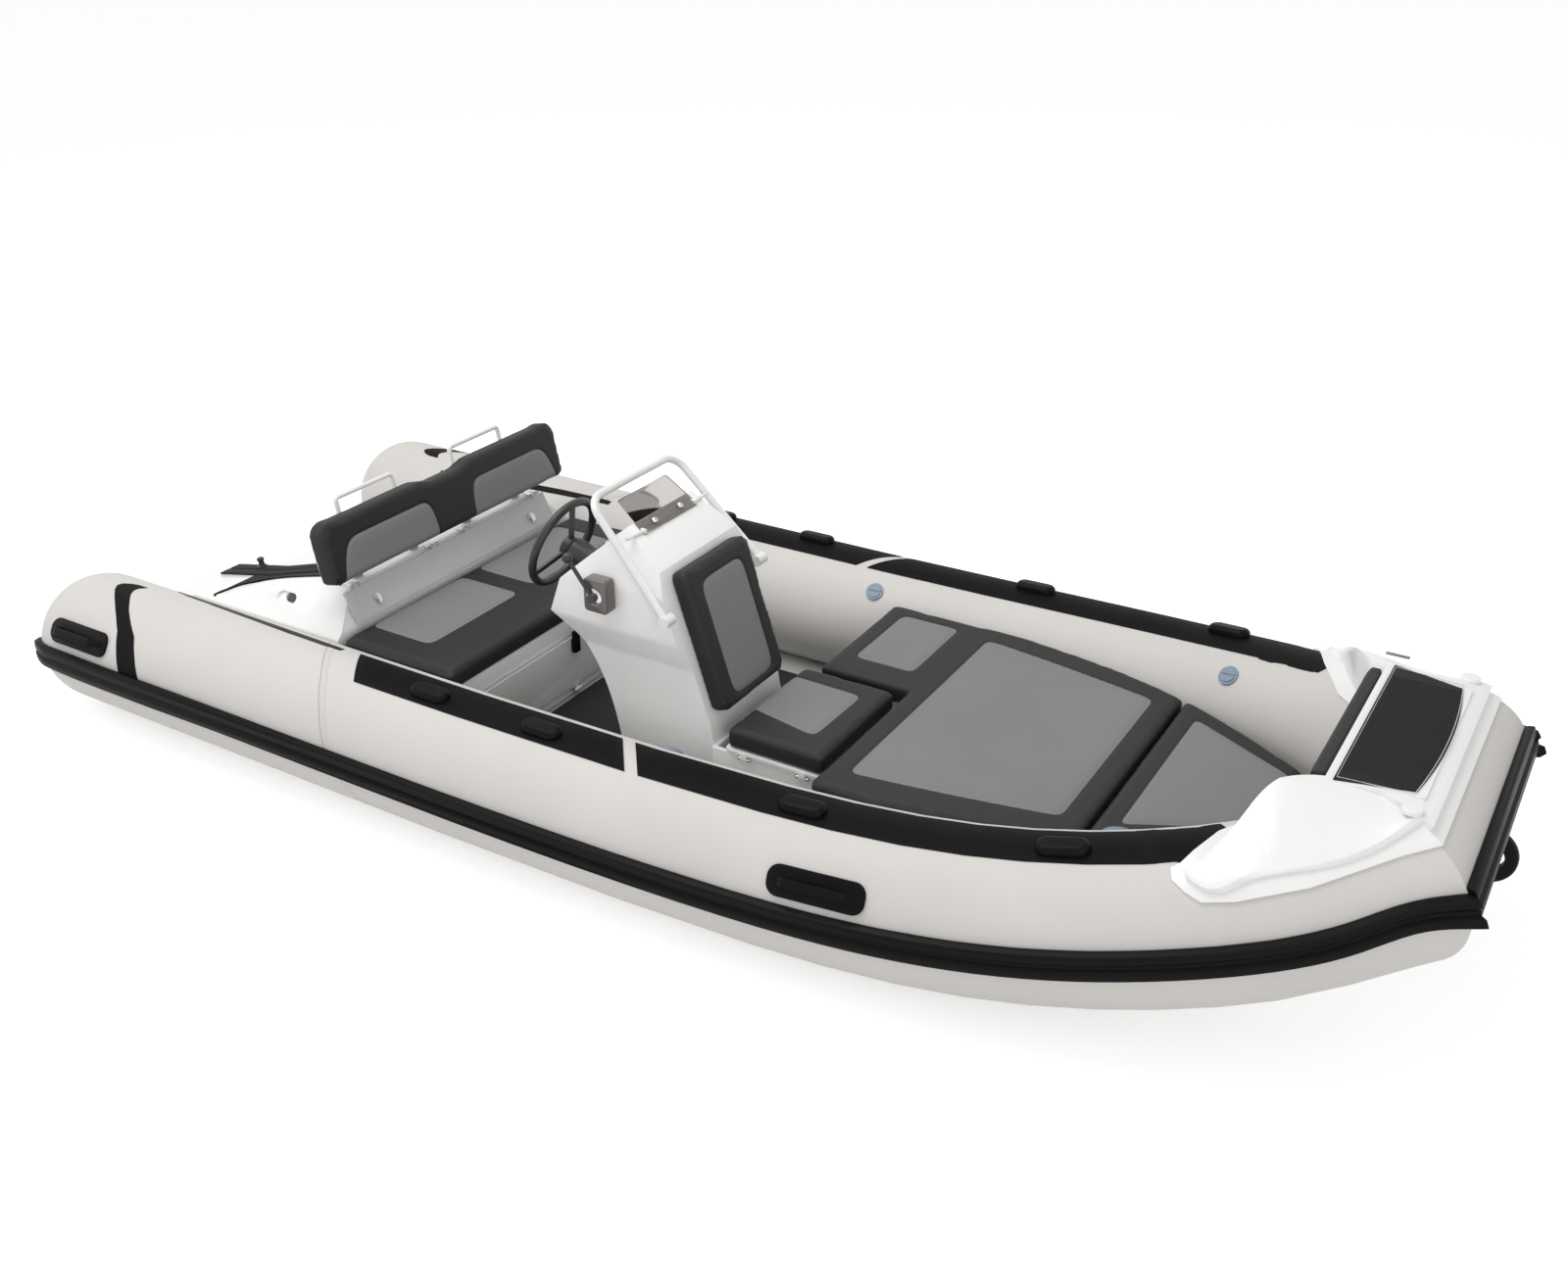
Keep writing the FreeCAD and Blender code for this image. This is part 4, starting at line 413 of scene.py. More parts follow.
@dataclass(frozen=True)
class Finish:
    """A surface: its colour, gloss, grain, weave, wear and dust."""

    name: str
    slot: Slot
    colour: Triple
    roughness: float
    metallic: float = 0.0
    coat: float = 0.0
    mottling: float = 0.05
    patch_scale: float = 2.6
    grain: float = 400.0
    grain_height: float = 0.0002
    threads: float = 0.0
    thread_height: float = 0.0
    rib_pitch: float = 0.0
    rib_across: Triple = (0.0, 1.0, 0.0)
    rib_height: float = 0.0
    wear: float = 0.3
    dust: float = 0.04
    specular: float = 0.5
    panels: tuple[Panel, ...] = ()
    panel_plane: Plane | None = None
    panel_colour: Triple = (0.0, 0.0, 0.0)

    def panel_mask(self, tree: Tree, point: Socket) -> Socket:
        """Builds the mask that is 1 inside the light panels.

        Args:
            tree: The material's node tree.
            point: The Object coordinates.

        Returns:
            The mask's socket.
        """
        nearest = None
        for panel in self.panels:
            total = None
            for across, along, offset in panel.edges():
                way = Vector(self.panel_plane.across) * across + Vector(self.panel_plane.along) * along
                dot = tree.nodes.new("ShaderNodeVectorMath")
                dot.operation = "DOT_PRODUCT"
                dot.inputs[1].default_value = way
                tree.links.new(point, dot.inputs[0])
                base = offset + way.dot(Vector(self.panel_plane.origin))
                away = math_node(tree, "SUBTRACT", dot.outputs["Value"], base)
                if total is None:
                    total = away
                else:
                    total = math_node(tree, "SMOOTH_MAX", total, away, panel.softness)
            nearest = total if nearest is None else math_node(tree, "MINIMUM", nearest, total)
        return math_node(tree, "LESS_THAN", nearest, 0.0)

    def material(self) -> bpy.types.Material:
        """Builds the material once.

        Returns:
            The material.
        """
        found = bpy.data.materials.get(self.name + "_finish")
        if found:
            return found
        material, tree, shader = fresh_material(self.name + "_finish")
        point = tree.nodes.new("ShaderNodeTexCoord").outputs["Object"]
        surface = tree.nodes.new("ShaderNodeNewGeometry")
        grain = use_group(tree, "grain", Vector=point, Scale=self.grain, Patch_Scale=self.patch_scale)
        patch = grain.outputs["Patch"]
        base = self.colour
        if self.panels:
            base = mix_colours(tree, self.panel_mask(tree, point), self.colour, self.panel_colour)
        shade = spread(tree, patch, 1.0 - self.mottling, 1.0 + self.mottling / 2, (0.3, 0.7))
        toned = tree.nodes.new("ShaderNodeVectorMath")
        toned.operation = "SCALE"
        if isinstance(base, tuple):
            toned.inputs[0].default_value = base
        else:
            tree.links.new(base, toned.inputs[0])
        tree.links.new(shade, toned.inputs["Scale"])
        colour = toned.outputs[0]
        if self.wear:
            worn = use_group(tree, "wear", Pointiness=surface.outputs["Pointiness"], Pattern=patch)
            pale = tuple(min(1.0, channel * 1.25 + 0.03) for channel in self.colour)
            amount = math_node(tree, "MULTIPLY", worn.outputs["Mask"], self.wear)
            colour = mix_colours(tree, amount, colour, pale)
        if self.dust:
            parts = tree.nodes.new("ShaderNodeSeparateXYZ")
            tree.links.new(surface.outputs["Normal"], parts.inputs[0])
            settled = use_group(tree, "dust", Upward=parts.outputs["Z"], Pattern=patch)
            amount = math_node(tree, "MULTIPLY", settled.outputs["Mask"], self.dust)
            colour = mix_colours(tree, amount, colour, DUST)
        tree.links.new(colour, shader.inputs["Base Color"])
        rough = spread(tree, patch, max(0.02, self.roughness - 0.06), min(1.0, self.roughness + 0.08))
        tree.links.new(rough, shader.inputs["Roughness"])
        for label, value in (("Metallic", self.metallic), ("Coat Weight", self.coat),
                             ("Coat Roughness", 0.08), ("Specular IOR Level", self.specular)):
            shader.inputs[label].default_value = value
        height = math_node(tree, "MULTIPLY", grain.outputs["Height"], self.grain_height)
        if self.threads:
            weave = use_group(tree, "weave", Vector=point, Threads=self.threads)
            lifted = math_node(tree, "MULTIPLY", weave.outputs["Height"], self.thread_height)
            height = math_node(tree, "ADD", height, lifted)
        if self.rib_pitch:
            ribs = use_group(tree, "ribs", Vector=point, Across=self.rib_across, Pitch=self.rib_pitch)
            lifted = math_node(tree, "MULTIPLY", ribs.outputs["Height"], self.rib_height)
            height = math_node(tree, "ADD", height, lifted)
        bump = tree.nodes.new("ShaderNodeBump")
        for label in ("Distance", "Strength"):
            bump.inputs[label].default_value = 1.0
        tree.links.new(height, bump.inputs["Height"])
        tree.links.new(bump.outputs["Normal"], shader.inputs["Normal"])
        return material


@dataclass(frozen=True)
class Glass:
    """The smoked screen: clear, faintly brown and lightly scratched."""

    name: str = "smoked_screen"
    slot: Slot = Slot.SCREEN
    colour: Triple = (0.52, 0.49, 0.48)

    def material(self) -> bpy.types.Material:
        """Builds the material once.

        Returns:
            The material.
        """
        found = bpy.data.materials.get(self.name + "_finish")
        if found:
            return found
        material, tree, shader = fresh_material(self.name + "_finish")
        point = tree.nodes.new("ShaderNodeTexCoord").outputs["Object"]
        grain = use_group(tree, "grain", Vector=point, Scale=60.0, Patch_Scale=8.0)
        rough = spread(tree, grain.outputs["Patch"], 0.01, 0.07)
        tree.links.new(rough, shader.inputs["Roughness"])
        darker = tuple(channel * 0.92 for channel in self.colour)
        tint = mix_colours(tree, grain.outputs["Patch"], self.colour, darker)
        tree.links.new(tint, shader.inputs["Base Color"])
        shader.inputs["Transmission Weight"].default_value = 1.0
        shader.inputs["IOR"].default_value = 1.05
        return material


COLLAR = Finish("collar_fabric", Slot.COLLAR, linear(211, 208, 204), 0.55, mottling=0.03, grain=700.0,
                grain_height=0.00008, threads=420.0, thread_height=0.00003, wear=0.1, dust=0.0,
                specular=0.3)
SEAM = replace(COLLAR, name="seam_tape", colour=linear(205, 202, 198), roughness=0.5)
SEAM_LINE = Finish("seam_line", Slot.COLLAR, linear(158, 155, 150), 0.6, grain=700.0, wear=0.1, dust=0.0,
                   specular=0.2)
RUBBER = Finish("black_rubber", Slot.RUBBER, linear(14, 14, 14), 0.38, mottling=0.15, grain=900.0,
                grain_height=0.0001, wear=0.04, dust=0.0, specular=0.08)
PATCH_RUBBER = Finish("patch_rubber", Slot.RUBBER, linear(10, 10, 10), 0.6, mottling=0.12, grain=500.0,
                      threads=260.0, thread_height=0.00008, wear=0.08, dust=0.0, specular=0.07)
WHITE = Finish("white_gelcoat", Slot.WHITE, linear(240, 240, 239), 0.3, coat=0.35, mottling=0.02,
               grain=30.0, grain_height=0.0001, wear=0.05)
# A grey copy of the white gelcoat: painted shade for white gelcoat panels that sit in shade.
WHITE_GELCOAT_PAINTED_SHADE = replace(WHITE, name="white_gelcoat_painted_shade", colour=linear(205, 205, 204), roughness=0.35, coat=0.25,
                       mottling=0.03, grain=40.0, wear=0.1)
HULL_PAINT = Finish("hull_paint", Slot.HULL, linear(226, 226, 224), 0.32, coat=0.3, mottling=0.03,
                    grain=25.0, grain_height=0.0001, wear=0.1, dust=0.03)
DECK_PAINT = Finish("deck_paint", Slot.DECK, linear(176, 176, 174), 0.6, grain=260.0, grain_height=0.0004,
                    threads=60.0, thread_height=0.0002, wear=0.2, dust=0.08)
MAT = Finish("deck_mat", Slot.MAT, linear(40, 39, 39), 0.8, mottling=0.08, grain=350.0,
             grain_height=0.0003, rib_pitch=0.012, rib_height=0.0006, wear=0.1, dust=0.02, specular=0.15)
PAD_RUBBER = Finish("pad_rubber", Slot.MAT, linear(37, 37, 37), 0.75, mottling=0.08, grain=500.0, wear=0.1,
                    dust=0.0, specular=0.15)
LIGHT_LINE = Finish("light_line", Slot.WHITE, linear(208, 207, 204), 0.5, mottling=0.03, wear=0.1)
STEEL = Finish("polished_stainless", Slot.STEEL, linear(198, 198, 197), 0.18, metallic=1.0, mottling=0.04,
               grain=160.0, grain_height=0.00003, wear=0.0, dust=0.0)
BROWN_GREY = Finish("brown_grey_plastic", Slot.PLASTIC, linear(92, 84, 82), 0.25, mottling=0.1, coat=0.4,
                    grain=500.0, grain_height=0.00005, wear=0.2)
DARK_STEEL = replace(STEEL, name="brushed_stainless", colour=linear(128, 128, 128), roughness=0.3,
                     mottling=0.08)
# The stainless rails coloured white and not metallic: a painted reflection of the white surroundings on
# polished steel.
RAIL_PAINTED_REFLECTION = replace(STEEL, name="stainless_rail_painted_reflection", colour=linear(232, 232, 231), roughness=0.25, metallic=0.0,
                     coat=0.4, mottling=0.03, grain=120.0)
PLASTIC = Finish("black_plastic", Slot.PLASTIC, linear(34, 34, 35), 0.4, mottling=0.1, grain=700.0,
                 grain_height=0.0001)
DIAL = Finish("dial_face", Slot.PLASTIC, linear(60, 62, 66), 0.3, mottling=0.2, coat=0.5, wear=0.0)
VALVE = Finish("valve_plastic", Slot.VALVE, linear(122, 138, 156), 0.45, mottling=0.06,
               grain_height=0.0001)
SCREEN = Glass()
CHARCOAL = linear(33, 33, 33)
PANEL_GREY = linear(126, 129, 127)


def cushion_finish(name: str, plane: Plane, panels: tuple[Panel, ...]) -> Finish:
    """The charcoal vinyl of one cushion, with its light panels."""
    return Finish(name, Slot.VINYL, CHARCOAL, 0.58, mottling=0.07, grain=620.0, grain_height=0.00022,
                  wear=0.25, dust=0.01, specular=0.3, panels=panels, panel_plane=plane,
                  panel_colour=PANEL_GREY)


# Modelling by hand


def only(piece: Piece) -> None:
    """Selects one object alone and makes it active.

    Args:
        piece: The object.
    """
    if bpy.context.object and bpy.context.object.mode != "OBJECT":
        bpy.ops.object.mode_set(mode="OBJECT")
    bpy.ops.object.select_all(action="DESELECT")
    piece.select_set(True)
    bpy.context.view_layer.objects.active = piece


def editing(piece: Piece, kind: str = "VERT") -> None:
    """Enters edit mode on one object with all of it selected.

    Args:
        piece: The object.
        kind: VERT, EDGE or FACE.
    """
    only(piece)
    bpy.ops.object.mode_set(mode="EDIT")
    bpy.ops.mesh.select_mode(type=kind)
    bpy.ops.mesh.select_all(action="SELECT")


def done() -> None:
    """Leaves edit mode."""
    bpy.ops.object.mode_set(mode="OBJECT")


def apply_modifier(piece: Piece, kind: str, **values) -> None:
    """Adds a modifier with its values and applies it.

    Args:
        piece: The object.
        kind: The modifier's type.
        values: Its settings by name.
    """
    only(piece)
    modifier = piece.modifiers.new(kind.title(), kind)
    for label, value in values.items():
        setattr(modifier, label, value)
    bpy.ops.object.modifier_apply(modifier=modifier.name)


def settle(piece: Piece, matrix: Matrix | None = None) -> Piece:
    """Moves an object and writes its place into its mesh.

    Args:
        piece: The object.
        matrix: The move, or None to write the place alone.

    Returns:
        The object.
    """
    if matrix is not None:
        piece.matrix_world = matrix @ piece.matrix_world
    only(piece)
    bpy.ops.object.transform_apply(location=True, rotation=True, scale=True)
    return piece


def stand(origin: Vector, normal: Vector, along: Vector = Vector((1, 0, 0))) -> Matrix:
    """A frame that stands on a surface.

    Args:
        origin: The frame's place.
        normal: The direction of its Z.
        along: The direction that its X leans towards.

    Returns:
        The frame's matrix.
    """
    upward = normal.normalized()
    side = upward.cross(along).normalized()
    forward = side.cross(upward)
    matrix = Matrix((forward, side, upward)).transposed().to_4x4()
    matrix.translation = origin
    return matrix


def placed(name: str, data: bpy.types.ID) -> Piece:
    """Puts an object in the scene.

    Args:
        name: The object's name.
        data: The mesh, curve, lamp or camera that it holds.

    Returns:
        The object.
    """
    piece = bpy.data.objects.new(name, data)
    bpy.context.scene.collection.objects.link(piece)
    return piece


def dress(piece: Piece, finish: Finish | Glass, body: str, nodes: tuple[str, ...] = (),
          angle: float = 32.0) -> Piece:
    """Smooths a piece, gives it its finish and lets it ride on its body.

    Args:
        piece: The object.
        finish: Its surface.
        body: The CAD body that carries it.
        nodes: CAD nodes that it stands for.
        angle: Edges sharper than this stay sharp, in degrees.

    Returns:
        The piece.
    """
    only(piece)
    bpy.ops.object.shade_smooth_by_angle(angle=math.radians(angle))
    piece.data.materials.clear()
    piece.data.materials.append(finish.material())
    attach(piece, body)
    if nodes:
        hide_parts(*nodes)
    LOG.info("%s on %s, %d faces", piece.name, body, len(piece.data.polygons))
    return piece


def body_of_node(node: str) -> str:
    """The name of the body that a CAD node rides on."""
    return next(body for body, nodes in RECORD_BODIES.items() if node in nodes)


def copy_node(node: str, name: str) -> Piece:
    """Copies a CAD node's mesh and merges its doubled points.

    Args:
        node: The CAD node.
        name: The copy's name.

    Returns:
        The new object.
    """
    piece = placed(name, frame["nodes"][node].data.copy())
    only(piece)
    bpy.ops.mesh.customdata_custom_splitnormals_clear()
    editing(piece)
    bpy.ops.mesh.remove_doubles(threshold=WELD)
    done()
    return piece


def skin(node: str, finish: Finish | Glass, bevel: float = 0.0, angle: float = 32.0,
         segments: int = 2) -> Piece:
    """Stands a welded, smooth copy with softened edges in for a CAD node.

    Args:
        node: The CAD node.
        finish: Its surface.
        bevel: The width of the softened edges in metres, 0 for none.
        angle: The sharpest angle that stays smooth, in degrees.
        segments: How many faces round a softened edge.

    Returns:
        The new piece.
    """
    piece = copy_node(node, node + "_skin")
    if bevel:
        editing(piece)
        bpy.ops.mesh.dissolve_limited(angle_limit=FLAT_ANGLE)
        done()
        apply_modifier(piece, "BEVEL", width=bevel, segments=segments, limit_method="ANGLE",
                       angle_limit=math.radians(angle), use_clamp_overlap=True)
    return dress(piece, finish, body_of_node(node), (node,), angle)


def block(name: str, size: Triple, edge: float, segments: int = 3) -> Piece:
    """A block about the origin with rounded edges.

    Args:
        name: The object's name.
        size: Its three sizes.
        edge: Radius of the edges.
        segments: How many faces round an edge.

    Returns:
        The new object.
    """
    bpy.ops.mesh.primitive_cube_add(size=1)
    piece = bpy.context.object
    piece.name = name
    piece.scale = size
    settle(piece)
    editing(piece, "EDGE")
    bpy.ops.mesh.bevel(offset=edge, segments=segments, affect="EDGES", clamp_overlap=True)
    done()
    return piece


def turned(name: str, profile: list[Pair], sides: int = 40) -> Piece:
    """A shape turned about Z from (radius, height) pairs.

    Args:
        name: The object's name.
        profile: The outline from the foot to the crown.
        sides: How many faces round.

    Returns:
        The new object.
    """
    mesh = bpy.data.meshes.new(name)
    points = [(radius, 0.0, height) for radius, height in profile]
    mesh.from_pydata(points, [(i, i + 1) for i in range(len(points) - 1)], [])
    piece = placed(name, mesh)
    editing(piece)
    bpy.ops.mesh.spin(steps=sides, angle=2 * math.pi, center=(0, 0, 0), axis=(0, 0, 1))
    bpy.ops.mesh.select_all(action="SELECT")
    bpy.ops.mesh.remove_doubles(threshold=WELD)
    bpy.ops.mesh.normals_make_consistent(inside=False)
    done()
    return piece


def tube(name: str, points: list[Vector], radius: float, closed: bool = False,
         sides: int = 3) -> Piece:
    """A round bead along points, with closed ends.

    Args:
        name: The object's name.
        points: The bead's middle line.
        radius: The bead's radius.
        closed: Whether the line runs back to its start.
        sides: The curve's bevel resolution.

    Returns:
        The new object.
    """
    curve = bpy.data.curves.new(name, "CURVE")
    curve.dimensions = "3D"
    curve.bevel_depth = radius
    curve.bevel_resolution = sides
    curve.use_fill_caps = not closed
    spline = curve.splines.new("POLY")
    spline.points.add(len(points) - 1)
    for target, point in zip(spline.points, points):
        target.co = (*point, 1.0)
    spline.use_cyclic_u = closed
    only(placed(name, curve))
    bpy.ops.object.convert(target="MESH")
    piece = bpy.context.object
    editing(piece)
    bpy.ops.mesh.remove_doubles(threshold=WELD)
    bpy.ops.mesh.normals_make_consistent(inside=False)
    done()
    return piece


def stamp(template: Piece, places: list[Matrix], name: str) -> Piece:
    """Copies a template to each place, joins the copies and drops the template.

    Args:
        template: An object at the origin.
        places: A frame for each copy.
        name: The joined object's name.

    Returns:
        The joined object.
    """
    copies = [settle(placed(name, template.data.copy()), place) for place in places]
    bpy.data.objects.remove(template)
    return joined(copies, name)


def joined(pieces: list[Piece], name: str) -> Piece:
    """Joins objects into one.

    Args:
        pieces: The objects.
        name: The name of the one.

    Returns:
        The joined object.
    """
    only(pieces[0])
    for piece in pieces:
        piece.select_set(True)
    bpy.ops.object.join()
    piece = bpy.context.object
    piece.name = name
    return piece


def screw(name: str, radius: float) -> Piece:
    """A domed screw head with a round socket."""
    shares = ((0, 0), (1, 0), (1, 0.25), (0.82, 0.55), (0.5, 0.68), (0.46, 0.68), (0.42, 0.3), (0, 0.28))
    return turned(name, [(radius * out, radius * up) for out, up in shares], 18)


def screws_on(node: str, name: str, radius: float, share: float) -> None:
    """Sets two screws on the largest flat face of each solid in a CAD node.

    Args:
        node: The CAD node.
        name: The screws' name.
        radius: Radius of a screw's head.
        share: How far from the face's middle each sits, as a share of its length.
    """
    source = copy_node(node, "source")
    editing(source)
    bpy.ops.mesh.dissolve_limited(angle_limit=FLAT_ANGLE)
    bpy.ops.mesh.separate(type="LOOSE")
    done()
    places = []
    for piece in list(bpy.context.selected_objects):
        faces = [face for face in piece.data.polygons if face.normal.z > -0.5]
        face = max(faces, key=lambda item: item.area)
        spots = [piece.data.vertices[index].co for index in face.vertices]
        middle = (Vector(map(min, *spots)) + Vector(map(max, *spots))) / 2
        way = max((a - b for a in spots for b in spots), key=lambda reach: reach.length)
        size = [max(spot[axis] for spot in spots) - min(spot[axis] for spot in spots) for axis in range(3)]
        axis = size.index(max(size))
        along = Vector([1.0 if index == axis else 0.0 for index in range(3)])
        along = (along - face.normal * along.dot(face.normal)).normalized()
        reach = abs(way.dot(along)) * share
        places += [stand(middle + along * reach * sign, face.normal) for sign in (-1, 1)]
        bpy.data.objects.remove(piece)
    dress(stamp(screw(name, radius), places, name), STEEL, body_of_node(node))


def sheet_over(name: str, rows: list[list[Vector]], thickness: float) -> Piece:
    """A thin skin through rows of points, thickened outwards.

    Args:
        name: The object's name.
        rows: Rows of points, all of one length.
        thickness: The skin's thickness in metres.

    Returns:
        The new object.
    """
    width = len(rows[0])
    faces = []
    for i in range(len(rows) - 1):
        for j in range(width - 1):
            a = i * width + j
            faces.append((a, a + 1, a + width + 1, a + width))
    mesh = bpy.data.meshes.new(name)
    mesh.from_pydata([tuple(point) for row in rows for point in row], [], faces)
    piece = placed(name, mesh)
    apply_modifier(piece, "SOLIDIFY", thickness=thickness, offset=1.0)
    return piece


def on_tube(x: float, angle: float, side: Side, lift: float = 0.0) -> Vector:
    """A point on the straight aft part of a side tube.

    Args:
        x: Its place along the boat.
        angle: Degrees round the tube, from outboard upward.
        side: The tube.
        lift: How far it stands off the fabric.

    Returns:
        The point.
    """
    turn = math.radians(angle)
    reach = TUBE_R + lift
    return Vector((x, side.value * (TUBE_Y + reach * math.cos(turn)), TUBE_Z + reach * math.sin(turn)))


def stepped(rows: tuple | list, steps: int | Callable[[float], int]) -> list[tuple[float, ...]]:
    """Rows of numbers with even steps put in between them.

    Args:
        rows: The rows.
        steps: How many steps lie between two rows, or a function of how far their first numbers lie apart.

    Returns:
        The rows with the new ones in between.
    """
    result = []
    for first, second in zip(rows, rows[1:]):
        count = steps(second[0] - first[0]) if callable(steps) else steps
        for step in range(count):
            result.append(tuple(a + (b - a) * (step / count) for a, b in zip(first, second)))
    return [*result, rows[-1]]


def surface_tree(node: str) -> BVHTree:
    """Makes a CAD node's surface ready for rays.

    Args:
        node: The CAD node.

    Returns:
        The surface's tree.
    """
    mesh = bmesh.new()
    mesh.from_mesh(frame["nodes"][node].data)
    tree = BVHTree.FromBMesh(mesh)
    mesh.free()
    return tree


def surface_point(node: str, over: Vector, way: Vector = Vector((0, 0, -1))) -> tuple[Vector, Vector]:
    """Where a ray meets a CAD node.

    Args:
        node: The CAD node.
        over: A point on the ray, which starts well before it.
        way: The ray's direction.

    Returns:
        The point met and the surface's normal there.
    """
    hit, normal, _, _ = surface_tree(node).ray_cast(over - way * RAY_RUN, way)
    return hit, normal if normal.dot(way) < 0 else -normal


def dropped(tree: BVHTree, x: float, y: float, side: Side) -> tuple[Vector | None, Vector | None]:
    """Where a plumb line from above meets a surface, with its normal there."""
    point, normal, _, _ = tree.ray_cast(Vector((x, side.value * y, PLUMB_TOP)), Vector((0, 0, -1)))
    return point, normal


def crown(tree: BVHTree, x: float, side: Side) -> float:
    """Finds how far out from the centreline a side tube is highest.

    Args:
        tree: The tube's surface.
        x: The place along the boat.
        side: The tube.

    Returns:
        The distance from the centreline.
    """
    best = (-1.0, 0.0)
    for step in range(CROWN_STEPS):
        y = 0.3 + 0.6 * step / (CROWN_STEPS - 1)
        met, _ = dropped(tree, x, y, side)
        if met and met.z > best[0]:
            best = (met.z, y)
    return best[1]


def between(table: list[Pair], x: float) -> Pair:
    """Reads a table between its rows.

    Args:
        table: Rows of x and value.
        x: The place to read at.

    Returns:
        The value and its slope.
    """
    for (x0, v0), (x1, v1) in zip(table, table[1:]):
        if x <= x1 or x1 == table[-1][0]:
            slope = (v1 - v0) / (x1 - x0)
            return v0 + slope * (x - x0), slope
    return table[-1][1], 0.0


# Cushions


@dataclass
class Cushion:
    """A foam cushion in vinyl: swollen by simulation, then seamed round its panels."""

    node: str
    plane: Plane
    panels: tuple[Panel, ...] = ()
    voxel: float = 0.01
    pressure: float = 4.0
    cap: float = 0.009
    side_cap: float = 0.004
    shrink: float = 0.006
    groove: float = 0.0035
    groove_width: float = 0.006
    rise: float = 0.004
    rise_run: float = 0.05
    facing: Pair = (0.35, 0.4)
    fill: float = 0.6
    channels: tuple[Triple, ...] = ()

    def build(self) -> Piece:
        """Makes the cushion in place of its CAD solid.

        Returns:
            The cushion.
        """
        low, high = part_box(self.node)
        size = high - low
        centre = (low + high) / 2
        piece = copy_node(self.node, self.node + "_padded")
        editing(piece)
        bpy.ops.transform.resize(value=tuple((side - self.shrink) / side for side in size),
                                 center_override=centre)
        done()
        apply_modifier(piece, "REMESH", mode="VOXEL", voxel_size=self.voxel)
        apply_modifier(piece, "SMOOTH", factor=0.5, iterations=3)
        self.inflate(piece)
        apply_modifier(piece, "SUBSURF", levels=1, render_levels=1)
        self.sculpt(piece)
        finish = cushion_finish(self.node + "_vinyl", self.plane, self.panels)
        dress(piece, finish, body_of_node(self.node), (self.node,), 60.0)
        return piece

    def inflate(self, piece: Piece) -> None:
        """Swells the cover with cloth under pressure, and caps how far a point moves.

        Args:
            piece: The cushion.
        """
        normal = self.plane.normal()
        before = [vertex.co.copy() for vertex in piece.data.vertices]
        base = min(self.plane.lift(point) for point in before)
        only(piece)
        cloth = piece.modifiers.new("Cloth", "CLOTH")
        cloth.settings.quality, cloth.settings.mass = 4, 0.3
        cloth.settings.effector_weights.gravity = 0.0
        cloth.settings.use_pressure = True
        cloth.settings.uniform_pressure_force = self.pressure
        cloth.collision_settings.use_collision = False
        cloth.point_cache.frame_start, cloth.point_cache.frame_end = 1, FRAMES
        for moment in range(1, FRAMES + 1):
            bpy.context.scene.frame_set(moment)
        bpy.ops.object.modifier_apply(modifier=cloth.name)
        bpy.context.scene.frame_set(1)
        for vertex, start in zip(piece.data.vertices, before):
            move = vertex.co - start
            up = max(-self.cap, min(self.cap, move.dot(normal)))
            flat = move - normal * move.dot(normal)
            if flat.length > self.side_cap:
                flat *= self.side_cap / flat.length
            if self.plane.lift(start) < base + self.voxel * 0.6:
                up = 0.0
            vertex.co = start + flat + normal * up

    def sculpt(self, piece: Piece) -> None:
        """Presses the seam grooves in and raises each panel a little.

        Args:
            piece: The cushion.
        """
        normal = self.plane.normal()
        mesh = piece.data
        moves = []
        for vertex in mesh.vertices:
            facing = max(0.0, min(1.0, (vertex.normal.dot(normal) - self.facing[0]) / self.facing[1]))
            u, v = self.plane.flat(vertex.co)
            seams = [across * u + along * v - offset for across, along, offset in self.channels]
            move = 0.0
            if self.panels and facing:
                away = min(panel.distance(u, v) for panel in self.panels)
                seams.append(away)
                inside = max(0.0, min(1.0, -away / self.rise_run))
                move = self.rise * inside * (2 - inside)
            for away in seams:
                move -= self.groove * math.exp(-(away / self.groove_width) ** 2)
            moves.append(move * facing)
        for vertex, move in zip(mesh.vertices, moves):
            vertex.co += normal * move


FLAT = Plane((0.0, 0.0, 0.378), (1.0, 0.0, 0.0), (0.0, 1.0, 0.0))
BACKREST = Plane((-1.19, 0.0, 0.636), (0.0, 1.0, 0.0), (-math.sin(LEAN), 0.0, math.cos(LEAN)))
SEATBACK_LENGTH = math.hypot(0.246 - 0.078, 0.938 - 0.44)
SEATBACK = Plane((0.246, CONSOLE_Y, 0.44), (0.0, 1.0, 0.0),
                 ((0.078 - 0.246) / SEATBACK_LENGTH, 0.0, (0.938 - 0.44) / SEATBACK_LENGTH))
BOW_BACK = Plane((2.1, 0.0, 0.677), (0.0, -1.0, 0.0), (0.0, 0.0, 1.0))


def mirrored(corners: tuple[Pair, ...], index: int = 1) -> tuple[Pair, ...]:
    """The same outline on the boat's other side."""
    return tuple((-u, v) if index == 0 else (u, -v) for u, v in corners)


# The boat's groups of pieces


